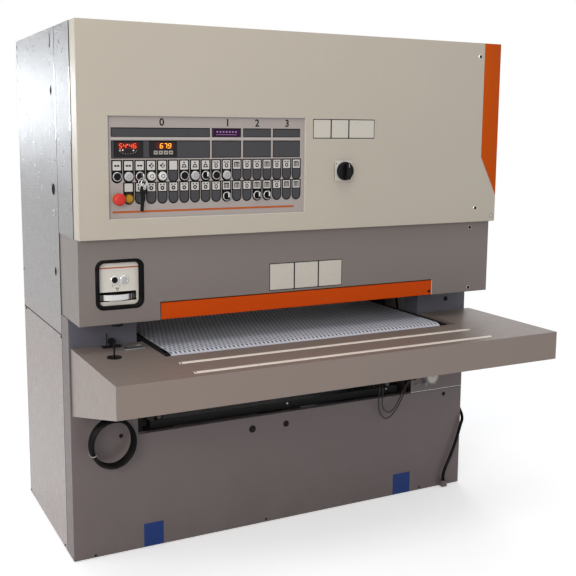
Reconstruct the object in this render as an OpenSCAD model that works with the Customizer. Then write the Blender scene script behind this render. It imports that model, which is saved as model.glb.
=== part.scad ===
// Wide belt sander: a floor-standing machine for through-feed sanding of panels.
// Machine axes while modelling: x from the left side, y from the base's front panel to the rear, z up.
// centred() then moves every piece to the row frame, whose origin is the middle of the footprint.

/* [Body] */
// Width over the side covers
body_w = 1686; // [1640:2:1760]
// Depth from the base's front panel to the rear covers
body_d = 712; // [700:2:780]
// Height of the covers' top edge
body_h = 1850; // [1830:2:1940]
// Thickness of the sheet-metal covers
sheet_t = 2.5; // [1.5:0.5:3.5]
// Depth of the covers' folded edges
fold_d = 24; // [20:1:30]
// Distance of the side covers' seam from the front panel
seam_y = 95; // [90:1:105]
// Height at which the upper covers start
base_h = 801; // [785:1:815]
// Height of the base panels under the table
low_panel_h = 433; // [410:1:445]
// Height of the right column's wider foot
foot_top_h = 525; // [480:1:530]
// Width of the right column's foot
foot_panel_w = 262; // [250:1:280]

/* [Cabinet and door] */
// Height of the door's lower edge
cabinet_z0 = 1159; // [1145:1:1175]
// How far the cabinet stands in front of the front panel
cabinet_front = 100; // [90:1:110]
// Depth of the door's tray
door_d = 69; // [55:1:80]
// Width of the control panel's cut-out
panel_w = 716; // [700:1:740]
// Height of the control panel's cut-out
panel_h = 332; // [320:1:350]
// Left edge of the control panel's cut-out
panel_x0 = 101; // [80:1:120]
// Lower edge of the control panel's cut-out
panel_z0 = 1223; // [1200:1:1240]
// Distance between neighbouring controls
key_pitch = 38.47; // [37:0.1:40]
// Radius of the push buttons
button_r = 12; // [10:0.5:13]
// Radius of the emergency stop's head
stop_r = 20; // [16:1:22]
// Radius of the main switch's knob
isolator_r = 33; // [26:1:35]

/* [Middle panel and gauge] */
// Height of the middle panel's lower edge
mid_z0 = 873; // [870:1:885]
// How far the middle panel stands in front of the front panel
mid_front = 138; // [130:1:145]
// Width of the gauge window
window_w = 150; // [140:1:160]
// Height of the gauge window
window_h = 158; // [150:1:165]
// Radius of the gauge's thumbwheel
wheel_r = 90; // [80:1:95]
// Length of the safety bar
bar_l = 1123; // [1080:1:1160]
// Height of the safety bar
bar_h = 56; // [50:1:60]

/* [Table] */
// Width of the conveyor belt
belt_w = 1107; // [1080:1:1120]
// Thickness of the conveyor belt
belt_t = 4; // [3:0.5:6]
// Radius of the conveyor's end rollers
bed_roller_r = 47.7; // [44:0.1:50]
// How far the conveyor belt reaches in front of the front panel
bed_front = 240; // [220:1:250]
// How far the conveyor belt reaches behind the rear covers
bed_rear = 182; // [160:1:220]
// Opening between belt and sanding line at rest
gap_rest = 67.9; // [60:0.1:75]
// Smallest opening
gap_min = 3; // [2:0.5:6]
// Radius of the lift screws
screw_r = 15; // [12:1:18]

/* [Infeed shelf] */
// Width of the shelf
shelf_w = 1702; // [1690:1:1780]
// Left end of the shelf
shelf_x0 = 6; // [0:1:10]
// Depth of the shelf in front of the front panel
shelf_d = 518; // [490:1:540]
// Height of the shelf's front face
shelf_front_h = 103; // [90:1:115]
// Height of the shelf's ends at the machine
shelf_rear_h = 239; // [220:1:242]
// Radius of the shelf's idle rollers
idle_r = 20; // [18:0.5:22]

/* [Sanding units] */
// Height of the sanding line
sand_z = 842.9; // [840:0.1:850]
// Width of the abrasive belts
abrasive_w = 1115; // [1090:1:1130]
// Thickness of the abrasive belts
abrasive_t = 1.5; // [1:0.1:2]
// Radius of the contact rollers
contact_r = 88.2; // [80:0.1:90]
// Radius of the tension rollers
tension_r = 44.7; // [40:0.1:48]
// Distance between contact and tension roller
unit_h = 736; // [700:1:760]
// Distance of the first unit from the front panel
unit_1_y = 255; // [250:1:260]
// Distance of the second unit from the front panel
unit_2_y = 550; // [545:1:555]
// Radius of the main motor
motor_r = 120; // [100:1:124]
// Radius of the dust outlets
outlet_r = 75; // [60:1:80]
// Height of the dust outlets
outlet_h = 60; // [50:1:65]

/* [Hidden] */
$fn = 64;

// Clearances and one overrun for every cut
seat = 0.3;
run = 0.05;
over = 2;
body_cx = body_w / 2;

// Table heights
belt_rise = 3;
belt_top = sand_z - gap_rest;
shelf_top = belt_top - belt_rise;
belt_r = bed_roller_r + seat;
bed_axis_z = belt_top - belt_t - belt_r;
// Width and depth of the body at which the belts', the bar's, the shelf's and the units' sizes are given
ref_w = 1686;
ref_d = 712;
widen = body_w - ref_w;
depth_k = (body_d - seam_y) / (ref_d - seam_y);
return_y = belt_r + belt_t - bed_front;
drive_y = body_d + bed_rear - belt_r - belt_t;
rail_t = 16;
rail_side = 13;
belt_span = belt_w + widen;
abrasive_span = abrasive_w + widen;
bar_span = bar_l + widen;
bed_w = belt_span + 2 * (rail_t + rail_side);
bed_x0 = body_cx - bed_w / 2;
bed_x1 = body_cx + bed_w / 2;
column_side = 19.5;
column_w = bed_x0 - column_side;
right_x = body_w - column_w;
lift_up = gap_rest - gap_min;

// Footprint, from the shelf's front to the belt's rear end
shelf_x1 = shelf_x0 + shelf_w + widen;
mid_x = shelf_x1 / 2;
mid_y = (body_d + bed_rear - shelf_d) / 2;

// Base frame
inset = fold_d + seat;
rail_w = 60;
rail_z0 = 15;
rail_top = rail_z0 + rail_w;
post_w = 80;
post_c = inset + post_w / 2;
beam_h = 60;
jack_drop = 43;
jack_z0 = low_panel_h - jack_drop;
jack_h = 40;
jack_w = 100;
screw_side = 80;
screw_x1 = bed_x0 + screw_side;
screw_x2 = bed_x1 - screw_side;
screw_air = 5;
guard_air = 1;
screw_hole_r = screw_r + screw_air;
screw_rows = [post_c, body_d - post_c];
screw_cols = [screw_x1, screw_x2];
screw_engage = 5;
screw_z0 = jack_z0 - lift_up - screw_engage;
carrier_h = 40;
carrier_w = 40;
bed_drop = 120;
bed_z0 = belt_top - bed_drop;
carrier_z0 = bed_z0 - seat - carrier_h;
guard_h = 30;
guard_w = 40;
lift_motor_r = 55;
lift_motor_h = 160;
foot_pad_r = 40;
foot_pad_h = 12;
foot_stem_r = 10;
foot_stem_h = 45;
panel_lift = 3;

// Sanding units
unit_ys = [for (y = [unit_1_y, unit_2_y]) seam_y + (y - seam_y) * depth_k];
contact_z = sand_z + contact_r + seat + abrasive_t;
tension_z = contact_z + unit_h;
contact_spare = 15;
contact_l = abrasive_span + contact_spare;
unit_x0 = body_cx - contact_l / 2;
unit_x1 = body_cx + contact_l / 2;
arm_t = 15;
arm_gap = 1;
arm_w = 60;
contact_boss_r = 42;
tension_boss_r = 28;
contact_shaft_r = 25;
tension_shaft_r = 12.5;
beam_w = 70;
unit_beam_h = 380;
unit_beam_drop = 190;
shoe_w = 40;
shoe_h = 25;
shoe_side = 15;
shoe_front = 125;
shoe_rear = 118;
shoe_ys = [unit_ys[0] - shoe_front * depth_k, (unit_ys[0] + unit_ys[1]) / 2,
    unit_ys[1] + shoe_rear * depth_k];
plate_t = 12;
drive_room = 48;
right_plate_x = body_w - inset - drive_room;
plate_side = 36;
left_plate_x = inset + plate_side;
frame_window_side = 50;
frame_window_z0 = 40;
frame_tie_h = 60;

// Belt drive
pulley_gap = 6;
pulley_x0 = right_plate_x + plate_t + pulley_gap;
pulley_w = 24;
groove_d = 6;
groove_w = 9;
vbelt_w = 8;
vbelt_t = 8;
motor_groove_r = 66;
roller_groove_r = 46;
motor_depth = 380;
motor_y = seam_y + (motor_depth - seam_y) * depth_k;
motor_z = 200;
motor_l = 380;
motor_shaft_r = 19;
motor_shaft_in = 60;
motor_bar_w = 60;

// Controls: columns and rows of the panel
key_side = 28.9;
key_x0 = panel_x0 + key_side;
row_1_rise = 138;
row_2_rise = 66;
row_1_z = panel_z0 + row_1_rise;
row_2_z = panel_z0 + row_2_rise;
door_front = cabinet_front + seat + door_d;
panel_sink = 6;
panel_t = 3;
panel_rim = 10;
plate_front = -door_front + panel_sink;
bezel_r = button_r + 3;
bezel_h = 5;
cap_proud = 2;
stem_r = 8;
stem_l = 25;
push_cols = [0, 1, 3, 4, 6, 7, 9, 10];
row_zs = [row_1_z, row_2_z];
selector_cols = [8, 10, 13, 14];
selector_rows = [0, 1, 1, 1];
stop_col = 0;
amber_col = 1;
key_col = 2;
selector_places = [for (i = [0 : len(selector_cols) - 1]) [selector_cols[i], row_zs[selector_rows[i]]]];
stop_place = [stop_col, row_2_z];
amber_place = [amber_col, row_2_z];
key_place = [key_col, row_1_z];
isolator_x = 975;
isolator_z = 1368;
isolator_plate = 74;
isolator_shaft_r = 8;

// Middle panel
mid_side = 3;
window_x0 = 65;
window_rise = 54;
window_z0 = mid_z0 + window_rise;
window_c = 22;
window_depth = 15;
gauge_wall = 5;
gauge_front = -mid_front + sheet_t + seat;
gauge_face = -mid_front + window_depth;
gauge_shift = 3;
gauge_x = window_x0 + window_w / 2 - gauge_shift;
wheel_in = 3;
wheel_y = -mid_front + wheel_in + wheel_r;
wheel_rise = 24;
wheel_z0 = window_z0 + wheel_rise;
wheel_h = 19;
wheel_pin_r = 6;
slot_w = 130;
slot_h = 32;
slot_drop = 4;
arm_drop = 8;
gauge_button_r = 10;
gauge_bezel_r = 14;
gauge_cap_proud = 1;
gauge_button_left = 10;
gauge_button_right = 23;
gauge_button_xs = [gauge_x - gauge_button_left, gauge_x + gauge_button_right];
gauge_button_rise = 92;
gauge_button_z = window_z0 + gauge_button_rise;
foot_r = 20;
foot_in = 26;
foot_y = -mid_front + foot_in;
foot_h = 10;
foot_drop = 11;
foot_travel = 8;
foot_rod_r = 8;
foot_rod_l = 53;
bar_x0 = 284;
bar_t = 3;
bar_side = 3;
bar_rise = 2;
bar_z0 = mid_z0 + bar_rise;
bar_top = bar_z0 + bar_h;
pivot_in = 18;
pivot_drop = 10;
bar_pivot_y = -mid_front + pivot_in;
bar_pivot_z = bar_top - pivot_drop;
bar_pin_r = 5;
bar_lip = 22;
bar_proud = 1;

// Moves a piece from the machine's left front corner to the row frame
module centred() {
    translate([-mid_x, -mid_y, 0])
        children();
}

// A box between two corners
module box(a, b) {
    translate(a)
        cube([b[0] - a[0], b[1] - a[1], b[2] - a[2]]);
}

// Round bars along the three axes
module rod_x(x0, x1, y, z, r) {
    translate([x0, y, z])
        rotate([0, 90, 0])
            cylinder(r = r, h = x1 - x0);
}

module rod_y(y0, y1, x, z, r) {
    translate([x, y0, z])
        rotate([-90, 0, 0])
            cylinder(r = r, h = y1 - y0);
}

module rod_z(z0, z1, x, y, r) {
    translate([x, y, z0])
        cylinder(r = r, h = z1 - z0);
}

// Extrudes an outline drawn in x and z along y, or one drawn in y and z along x
module plate_y(y0, y1) {
    translate([0, y1, 0])
        rotate([90, 0, 0])
            linear_extrude(y1 - y0)
                children();
}

module plate_x(x0, x1) {
    translate([x0, 0, 0])
        rotate([90, 0, 90])
            linear_extrude(x1 - x0)
                children();
}

// A rounded rectangle from corner a to corner b with corner radius r
module soft_rect(a, b, r) {
    translate([a[0] + r, a[1]])
        square([b[0] - a[0] - 2 * r, b[1] - a[1]]);
    translate([a[0], a[1] + r])
        square([b[0] - a[0], b[1] - a[1] - 2 * r]);
    for (u = [a[0] + r, b[0] - r], v = [a[1] + r, b[1] - r])
        translate([u, v])
            circle(r);
}

// The band that two discs and their outer tangents enclose; p and q are the centres
module belt_outline(p, q, rp, rq) {
    d = norm(q - p);
    dir = (q - p) / d;
    side = [-dir[1], dir[0]];
    s = (rp - rq) / d;
    c = sqrt(1 - s * s);
    n1 = dir * s + side * c;
    n2 = dir * s - side * c;
    translate(p)
        circle(rp);
    translate(q)
        circle(rq);
    polygon([p + n1 * rp, q + n1 * rq, q + n2 * rq, p + n2 * rp]);
}

// A closed belt of thickness t round two pulleys
module belt_loop(x0, x1, p, q, rp, rq, t) {
    plate_x(x0, x1)
        difference() {
            belt_outline(p, q, rp + t, rq + t);
            belt_outline(p, q, rp, rq);
        }
}

// A cover folded from sheet: a tray open towards +x with its face at x0
module tray_x(x0, y0, y1, z0, z1) {
    difference() {
        box([x0, y0, z0], [x0 + fold_d, y1, z1]);
        box([x0 + sheet_t, y0 + sheet_t, z0 + sheet_t], [x0 + fold_d + over, y1 - sheet_t, z1 - sheet_t]);
    }
}

// Welded frame of square tube; the members keep a weld gap
module base_frame() {
    front_y = inset;
    rear_y = body_d - inset;
    color("dimgray") centred() {
        for (y = [front_y, rear_y - rail_w])
            difference() {
                box([inset, y, rail_z0], [body_w - inset, y + rail_w, rail_top]);
                for (x = [post_c, body_w - post_c])
                    rod_z(rail_z0 - over, foot_pad_h + foot_stem_h + run,
                        x, y + rail_w / 2, foot_stem_r + run);
            }
        for (x = [inset, body_w - inset - rail_w])
            box([x, front_y + rail_w + seat, rail_z0], [x + rail_w, rear_y - rail_w - seat, rail_top]);
        for (x = [inset, body_w - inset - post_w], y = [front_y, rear_y - post_w])
            box([x, y, rail_top + seat], [x + post_w, y + post_w, base_h - seat]);
        for (y = screw_rows)
            difference() {
                box([inset + post_w + seat, y - rail_w / 2, jack_z0 - beam_h],
                    [body_w - inset - post_w - seat, y + rail_w / 2, jack_z0]);
                for (x = screw_cols)
                    rod_z(jack_z0 - beam_h - over, jack_z0 + over, x, y, screw_hole_r);
            }
        for (x = [motor_x0 + motor_bar_w / 2, motor_x0 + motor_l - 3 * motor_bar_w / 2])
            box([x, front_y + rail_w + seat, rail_z0], [x + motor_bar_w, rear_y - rail_w - seat, rail_top]);
    }
}

// Four levelling feet, screwed up into the bottom rails
module levelling_feet() {
    color("black") centred()
        for (x = [post_c, body_w - post_c], y = [inset + rail_w / 2, body_d - inset - rail_w / 2]) {
            rod_z(0, foot_pad_h, x, y, foot_pad_r);
            rod_z(foot_pad_h, foot_pad_h + foot_stem_h, x, y, foot_stem_r);
        }
}

// Front panel of the base: low under the table, full height at the left column, and the right column's sheet
panel_top = mid_z0 - seat;
plug_mid_side = 149;
plug_mid_gap = 144.5;
plug_left_x = 178;
plug_right_side = 92;
plug_mid_drop = 47;
plug_left_rise = 4;
plug_right_drop = 24;
plug_places = [[body_cx - plug_mid_side, low_panel_h - plug_mid_drop],
    [body_cx - plug_mid_side + plug_mid_gap, low_panel_h - plug_mid_drop],
    [plug_left_x, low_panel_h + plug_left_rise], [body_w - plug_right_side, low_panel_h - plug_right_drop]];
plug_r = 7;
block_w = 24;
block_h = 25;
hose_in_x = 70;
hose_out_x = 196;
hose_end_z = 575;
hose_out_y = -60;
supply_block_z = 378;
supply_block_y = 40;
supply_foot_x = 92;
supply_foot_z = 5;
supply_side = 11;
supply_y = -16;
module base_front_panel() {
    ret = seam_y - seat;
    color([0.42, 0.39, 0.38]) centred() {
        difference() {
            union() {
                plate_y(0, sheet_t)
                    polygon([[0, panel_lift], [body_w, panel_lift], [body_w, low_panel_h],
                        [column_w, low_panel_h], [column_w, panel_top], [0, panel_top]]);
                box([0, 0, panel_lift], [sheet_t, ret, panel_top]);
                box([body_w - sheet_t, 0, panel_lift], [body_w, ret, low_panel_h]);
                box([column_w - sheet_t, 0, low_panel_h - sheet_t], [column_w, ret, panel_top]);
                box([column_w, 0, low_panel_h - sheet_t], [body_w, fold_d, low_panel_h]);
            }
            for (p = plug_places)
                rod_y(-over, sheet_t + over, p[0], p[1], plug_r);
        }
        for (b = [[hose_in_x, coil_y0], [hose_out_x, hose_out_y]])
            box([b[0] - block_w / 2, b[1] - block_w / 2, hose_end_z],
                [b[0] + block_w / 2, 0, hose_end_z + block_h]);
        box([body_w, supply_block_y - block_w / 2, supply_block_z],
            [body_w + 2 * supply_side - seat, supply_block_y + block_w / 2, supply_block_z + block_h]);
        box([body_w - supply_foot_x - block_w / 2, supply_y - block_w / 2, supply_foot_z],
            [body_w - supply_foot_x + block_w / 2, 0, supply_foot_z + block_h]);
        foot_x = body_w - foot_panel_w;
        z0 = low_panel_h + seat;
        union() {
            plate_y(0, sheet_t)
                polygon([[foot_x, z0], [body_w, z0], [body_w, panel_top], [right_x, panel_top],
                    [right_x, foot_top_h], [foot_x, foot_top_h]]);
            box([body_w - sheet_t, 0, z0], [body_w, ret, panel_top]);
            box([right_x, 0, foot_top_h], [right_x + sheet_t, ret, panel_top]);
        }
    }
}

// Left and right lower side covers
module base_side_covers() {
    color([0.45, 0.43, 0.42]) centred() {
        tray_x(0, seam_y, body_d, panel_lift, base_h - panel_lift);
        translate([body_w, 0, 0])
            mirror([1, 0, 0])
                tray_x(0, seam_y, body_d, panel_lift, base_h - panel_lift);
    }
}

// Rear panel of the base, cut out for the table
module base_rear_panel() {
    color([0.42, 0.39, 0.38]) centred() {
        plate_y(body_d - sheet_t, body_d)
            polygon([[inset, panel_lift], [body_w - inset, panel_lift], [body_w - inset, base_h - panel_lift],
                [right_x, base_h - panel_lift], [right_x, low_panel_h], [column_w, low_panel_h],
                [column_w, base_h - panel_lift], [inset, base_h - panel_lift]]);
        box([column_w, body_d - fold_d, low_panel_h - sheet_t], [right_x, body_d - sheet_t, low_panel_h]);
    }
}

// Outline of the portal's side plates, in y and z
module side_plate_outline() {
    z0 = base_h + seat;
    z1 = body_h - fold_d - seat;
    step_z = cabinet_z0 - 2 * seat - sheet_t;
    polygon([[inset, z0], [body_d - inset, z0], [body_d - inset, z1], [seam_y + seat, z1],
        [seam_y + seat, step_z], [inset, step_z]]);
}

// Portal over the table: right bearing plate, left plate with the belt-change window, two ties
module upper_frame() {
    z1 = body_h - fold_d - seat;
    color("dimgray") centred() {
        difference() {
            plate_x(right_plate_x, right_plate_x + plate_t)
                side_plate_outline();
            for (y = unit_ys)
                rod_x(right_plate_x - over, right_plate_x + plate_t + over, y,
                    contact_z, contact_shaft_r + run);
        }
        difference() {
            plate_x(left_plate_x, left_plate_x + plate_t)
                side_plate_outline();
            box([left_plate_x - over, seam_y + frame_window_side, base_h + frame_window_z0],
                [left_plate_x + plate_t + over, body_d - inset - frame_window_side, z1 - frame_window_side]);
        }
        for (y = [seam_y + seat, body_d - inset - frame_tie_h])
            box([left_plate_x + plate_t + seat, y, z1 - frame_tie_h],
                [right_plate_x - seat, y + frame_tie_h, z1]);
    }
}

// Roof tray with the two welded dust outlets
outlet_share = 0.3;
outlet_side = 50;
outlet_y = body_d - inset - frame_tie_h - outlet_r - outlet_side;
outlet_wall = 2;
module roof_panel() {
    z0 = body_h - fold_d;
    xs = [body_w * outlet_share, body_w * (1 - outlet_share)];
    color([0.6, 0.58, 0.55]) centred()
        difference() {
            union() {
                difference() {
                    box([inset, seam_y + seat, z0], [body_w - inset, body_d - inset, body_h]);
                    box([inset + sheet_t, seam_y + seat + sheet_t, z0 - over],
                        [body_w - inset - sheet_t, body_d - inset - sheet_t, body_h - sheet_t]);
                }
                for (x = xs)
                    rod_z(body_h - sheet_t, body_h + outlet_h, x, outlet_y, outlet_r);
            }
            for (x = xs)
                rod_z(body_h - fold_d, body_h + outlet_h + over, x, outlet_y, outlet_r - outlet_wall);
        }
}

// Fixed cover over the belt drive
module upper_right_cover() {
    color([0.45, 0.43, 0.42]) centred()
        translate([body_w, 0, 0])
            mirror([1, 0, 0])
                tray_x(0, seam_y + seat, body_d, base_h, body_h);
}

// Rear cover above the outfeed opening
module upper_rear_cover() {
    color([0.45, 0.43, 0.42]) centred()
        difference() {
            box([inset, body_d - fold_d, mid_z0], [body_w - inset, body_d, body_h]);
            box([inset + sheet_t, body_d - fold_d - over, mid_z0 + sheet_t],
                [body_w - inset - sheet_t, body_d - sheet_t, body_h - sheet_t]);
        }
}

// Switch cabinet across the machine's front, open where the door closes it
cabinet_lip = 22;
module front_cabinet() {
    color([0.5, 0.48, 0.47]) centred()
        difference() {
            box([0, -cabinet_front, cabinet_z0], [body_w, seam_y, body_h]);
            box([sheet_t, sheet_t - cabinet_front, cabinet_z0 + sheet_t],
                [body_w - sheet_t, seam_y - sheet_t, body_h - sheet_t]);
            box([cabinet_lip, -cabinet_front - over, cabinet_z0 + cabinet_lip],
                [body_w - cabinet_lip, 0, body_h - cabinet_lip]);
        }
}

// Mounting plate with drives, contactors, breakers, terminals and the main switch
electrics_t = 3;
electrics_side = 60;
electrics_stud = 6;
device_d = [110, 75, 60, 45];
device_w = [150, 45, 18, 14];
device_h = [220, 85, 80, 55];
device_counts = [2, 7, 12, 34];
device_x0 = [140, 560, 180, 180];
device_rise = [311, 311, 190, 60];
switch_w = 86;
switch_d = 75;
// Height of the mounting plate at which the devices' heights are given
device_ref_h = 571;
module electrics() {
    y1 = seam_y - sheet_t - seat - electrics_stud;
    y0 = y1 - electrics_t;
    z0 = cabinet_z0 + electrics_side;
    z1 = body_h - electrics_side;
    k_h = (z1 - z0) / device_ref_h;
    color("gainsboro") centred() {
        box([electrics_side, y0, z0], [body_w - electrics_side, y1, z1]);
        for (x = [2 * electrics_side, body_w - 2 * electrics_side],
            z = [z0 + electrics_side, z1 - electrics_side])
            rod_y(y1, y1 + electrics_stud, x, z, electrics_stud);
        for (k = [0 : len(device_w) - 1])
            for (i = [0 : device_counts[k] - 1]) {
                x = device_x0[k] + i * (device_w[k] + electrics_stud);
                z = z0 + device_rise[k] * k_h;
                box([x, y0 - device_d[k], z], [x + device_w[k], y0, z + device_h[k] * k_h]);
            }
        box([isolator_x - switch_w / 2, y0 - switch_d, isolator_z - switch_w / 2],
            [isolator_x + switch_w / 2, y0, isolator_z + switch_w / 2]);
    }
}

// Folded fascia over the throat with the gauge window and the safety bar's cut-out
mid_lip = 20;
ear_t = 4;
ear_w = 26;
module mid_panel() {
    z1 = cabinet_z0 - seat;
    cut_x0 = bar_x0 - bar_side;
    cut_x1 = bar_x0 + bar_span + bar_side;
    cut_top = bar_top + ear_t;
    color([0.45, 0.43, 0.41]) centred()
        difference() {
            union() {
                difference() {
                    box([mid_side, -mid_front, mid_z0], [body_w - mid_side, seam_y, z1]);
                    box([mid_side + sheet_t, sheet_t - mid_front, mid_z0 - over],
                        [body_w - mid_side - sheet_t, seam_y + over, z1 - sheet_t]);
                    plate_y(-mid_front - over, sheet_t - mid_front + over)
                        soft_rect([window_x0, window_z0],
                            [window_x0 + window_w, window_z0 + window_h], window_c);
                    box([cut_x0, -mid_front - over, mid_z0 - over],
                        [cut_x1, sheet_t - mid_front + over, cut_top]);
                }
                for (x = [cut_x0 - ear_t, cut_x1])
                    box([x, -mid_front, mid_z0], [x + ear_t, ear_w - mid_front, cut_top + mid_lip]);
            }
            rod_x(cut_x0 - ear_t - over, cut_x1 + ear_t + over, bar_pivot_y, bar_pivot_z, bar_pin_r + run);
        }
}

// Recessed plate of the thickness gauge with the wheel's slot, the button bushes and the foot's guide
module gauge_plate() {
    x0 = window_x0 - gauge_wall;
    x1 = window_x0 + window_w + gauge_wall;
    z0 = window_z0 - gauge_wall;
    z1 = window_z0 + window_h + gauge_wall;
    back = gauge_face + sheet_t;
    slot_z0 = wheel_z0 - slot_drop;
    arm_z0 = wheel_z0 - arm_drop;
    color([0.75, 0.75, 0.73]) centred()
        difference() {
            union() {
                difference() {
                    box([x0, gauge_front, z0], [x1, back, z1]);
                    plate_y(gauge_front - over, gauge_face)
                        soft_rect([window_x0, window_z0],
                            [window_x0 + window_w, window_z0 + window_h], window_c);
                }
                for (x = gauge_button_xs)
                    rod_y(gauge_face - bezel_h, gauge_face, x, gauge_button_z, gauge_bezel_r);
                box([gauge_x - foot_r, gauge_face, arm_z0],
                    [gauge_x + foot_r, wheel_y + foot_r, arm_z0 + gauge_wall]);
                box([gauge_x - foot_r, gauge_face, mid_z0 - foot_drop + foot_h + foot_travel + seat],
                    [gauge_x + foot_r, foot_y + foot_r, z0 + gauge_wall]);
            }
            box([gauge_x - slot_w / 2, gauge_face - over, slot_z0],
                [gauge_x + slot_w / 2, back + seat, slot_z0 + slot_h]);
            for (x = gauge_button_xs)
                rod_y(gauge_face - bezel_h - over, back + over, x, gauge_button_z, gauge_button_r + run);
            rod_z(arm_z0 - over, arm_z0 + gauge_wall + over, gauge_x, wheel_y, wheel_pin_r + run);
            rod_z(mid_z0 - foot_drop, z0 + gauge_wall + over, gauge_x, foot_y, foot_rod_r + run);
        }
}

// Main motor on its feet, with terminal box and the bore that its shaft runs in
motor_gap = 54;
motor_x0 = right_plate_x - motor_gap - motor_l;
fan_step = 4;
fan_cover_r = motor_r - fan_step;
module main_motor() {
    x1 = motor_x0 + motor_l;
    foot_d = 80;
    box_d = 90;
    color("steelblue") centred()
        difference() {
            union() {
                rod_x(motor_x0, x1, motor_y, motor_z, motor_r);
                rod_x(motor_x0 - foot_d, motor_x0, motor_y, motor_z, fan_cover_r);
                for (s = [-1, 1])
                    box([motor_x0 + motor_bar_w / 2, motor_y + s * foot_d - foot_d / 2, rail_top + seat],
                        [x1 - motor_bar_w / 2, motor_y + s * foot_d + foot_d / 2, motor_z - motor_r / 2]);
                box([motor_x0 + box_d, motor_y - box_d / 2, motor_z],
                    [motor_x0 + 2 * box_d, motor_y + box_d / 2, motor_z + motor_r + box_d / 3]);
            }
            rod_x(x1 - motor_shaft_in - run, x1 + over, motor_y, motor_z, motor_shaft_r + run);
        }
}

// A pulley of groove radius r with two grooves, along x
module pulley(y, z, r) {
    pitch = pulley_w / 2;
    translate([pulley_x0, y, z])
        rotate([0, 90, 0])
            rotate_extrude()
                difference() {
                    square([r + groove_d, pulley_w]);
                    for (k = [0, 1])
                        translate([r, k * pitch + (pitch - groove_w) / 2])
                            square([groove_d + over, groove_w]);
                }
}

// Motor shaft and its pulley
module motor_pulley() {
    color("silver") centred() {
        rod_x(motor_x0 + motor_l - motor_shaft_in, pulley_x0 + pulley_w, motor_y, motor_z, motor_shaft_r);
        pulley(motor_y, motor_z, motor_groove_r);
    }
}

// One V-belt from the motor to each contact roller
module drive_belts() {
    pitch = pulley_w / 2;
    color("black") centred()
        for (k = [0, 1]) {
            x0 = pulley_x0 + k * pitch + (pitch - vbelt_w) / 2;
            belt_loop(x0, x0 + vbelt_w, [motor_y, motor_z], [unit_ys[k], contact_z],
                motor_groove_r + seat, roller_groove_r + seat, vbelt_t);
        }
}

// The two cantilever beams with their bearing arms, and the pressure shoes between the side plates
module sanding_units() {
    beam_z1 = tension_z - unit_beam_drop;
    color("slategray") centred() {
        for (y = unit_ys)
            difference() {
                union() {
                    box([unit_x0 - arm_gap, y - beam_w / 2, beam_z1 - unit_beam_h],
                        [right_plate_x - seat, y + beam_w / 2, beam_z1]);
                    for (x = [unit_x0 - arm_gap - arm_t, unit_x1 + arm_gap])
                        plate_x(x, x + arm_t) {
                            translate([y, contact_z])
                                circle(contact_boss_r);
                            translate([y, tension_z])
                                circle(tension_boss_r);
                            translate([y - arm_w / 2, contact_z])
                                square([arm_w, beam_z1 - contact_z]);
                            translate([y - tension_boss_r, beam_z1])
                                square([2 * tension_boss_r, tension_z - beam_z1]);
                        }
                }
                rod_x(unit_x0 - arm_t - over, right_plate_x - plate_t, y, contact_z, contact_shaft_r + run);
                rod_x(unit_x0 - arm_t - over, unit_x1 + arm_t + over, y, tension_z, tension_shaft_r + run);
            }
        for (y = shoe_ys)
            difference() {
                box([left_plate_x + plate_t + seat, y - shoe_w / 2, sand_z - seat],
                    [right_plate_x - seat, y + shoe_w / 2, sand_z - seat + shoe_h]);
                for (s = [-1, 1])
                    translate([0, y + s * shoe_w / 2, sand_z - seat])
                        rotate([45, 0, 0])
                            box([left_plate_x, -shoe_side / 2, -shoe_side / 2],
                                [right_plate_x + over, shoe_side / 2, shoe_side / 2]);
            }
    }
}

// Rubber-covered contact roller with its shaft and pulley
module contact_roller(y) {
    color([0.25, 0.25, 0.27]) centred() {
        rod_x(unit_x0, unit_x1, y, contact_z, contact_r);
        rod_x(unit_x0 - arm_gap - arm_t, pulley_x0 + pulley_w, y, contact_z, contact_shaft_r);
        pulley(y, contact_z, roller_groove_r);
    }
}

module contact_roller_1() {
    contact_roller(unit_ys[0]);
}

module contact_roller_2() {
    contact_roller(unit_ys[1]);
}

// Steel roller that tensions and steers an abrasive belt
module tension_roller(y) {
    color("silver") centred() {
        rod_x(unit_x0, unit_x1, y, tension_z, tension_r);
        rod_x(unit_x0 - arm_gap - arm_t, unit_x1 + arm_gap + arm_t, y, tension_z, tension_shaft_r);
    }
}

module tension_roller_1() {
    tension_roller(unit_ys[0]);
}

module tension_roller_2() {
    tension_roller(unit_ys[1]);
}

// Two endless abrasive belts
module abrasive_belts() {
    color("saddlebrown") centred()
        for (y = unit_ys)
            belt_loop(body_cx - abrasive_span / 2, body_cx + abrasive_span / 2,
                [y, contact_z], [y, tension_z], contact_r + seat, tension_r + seat, abrasive_t);
}

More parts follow.
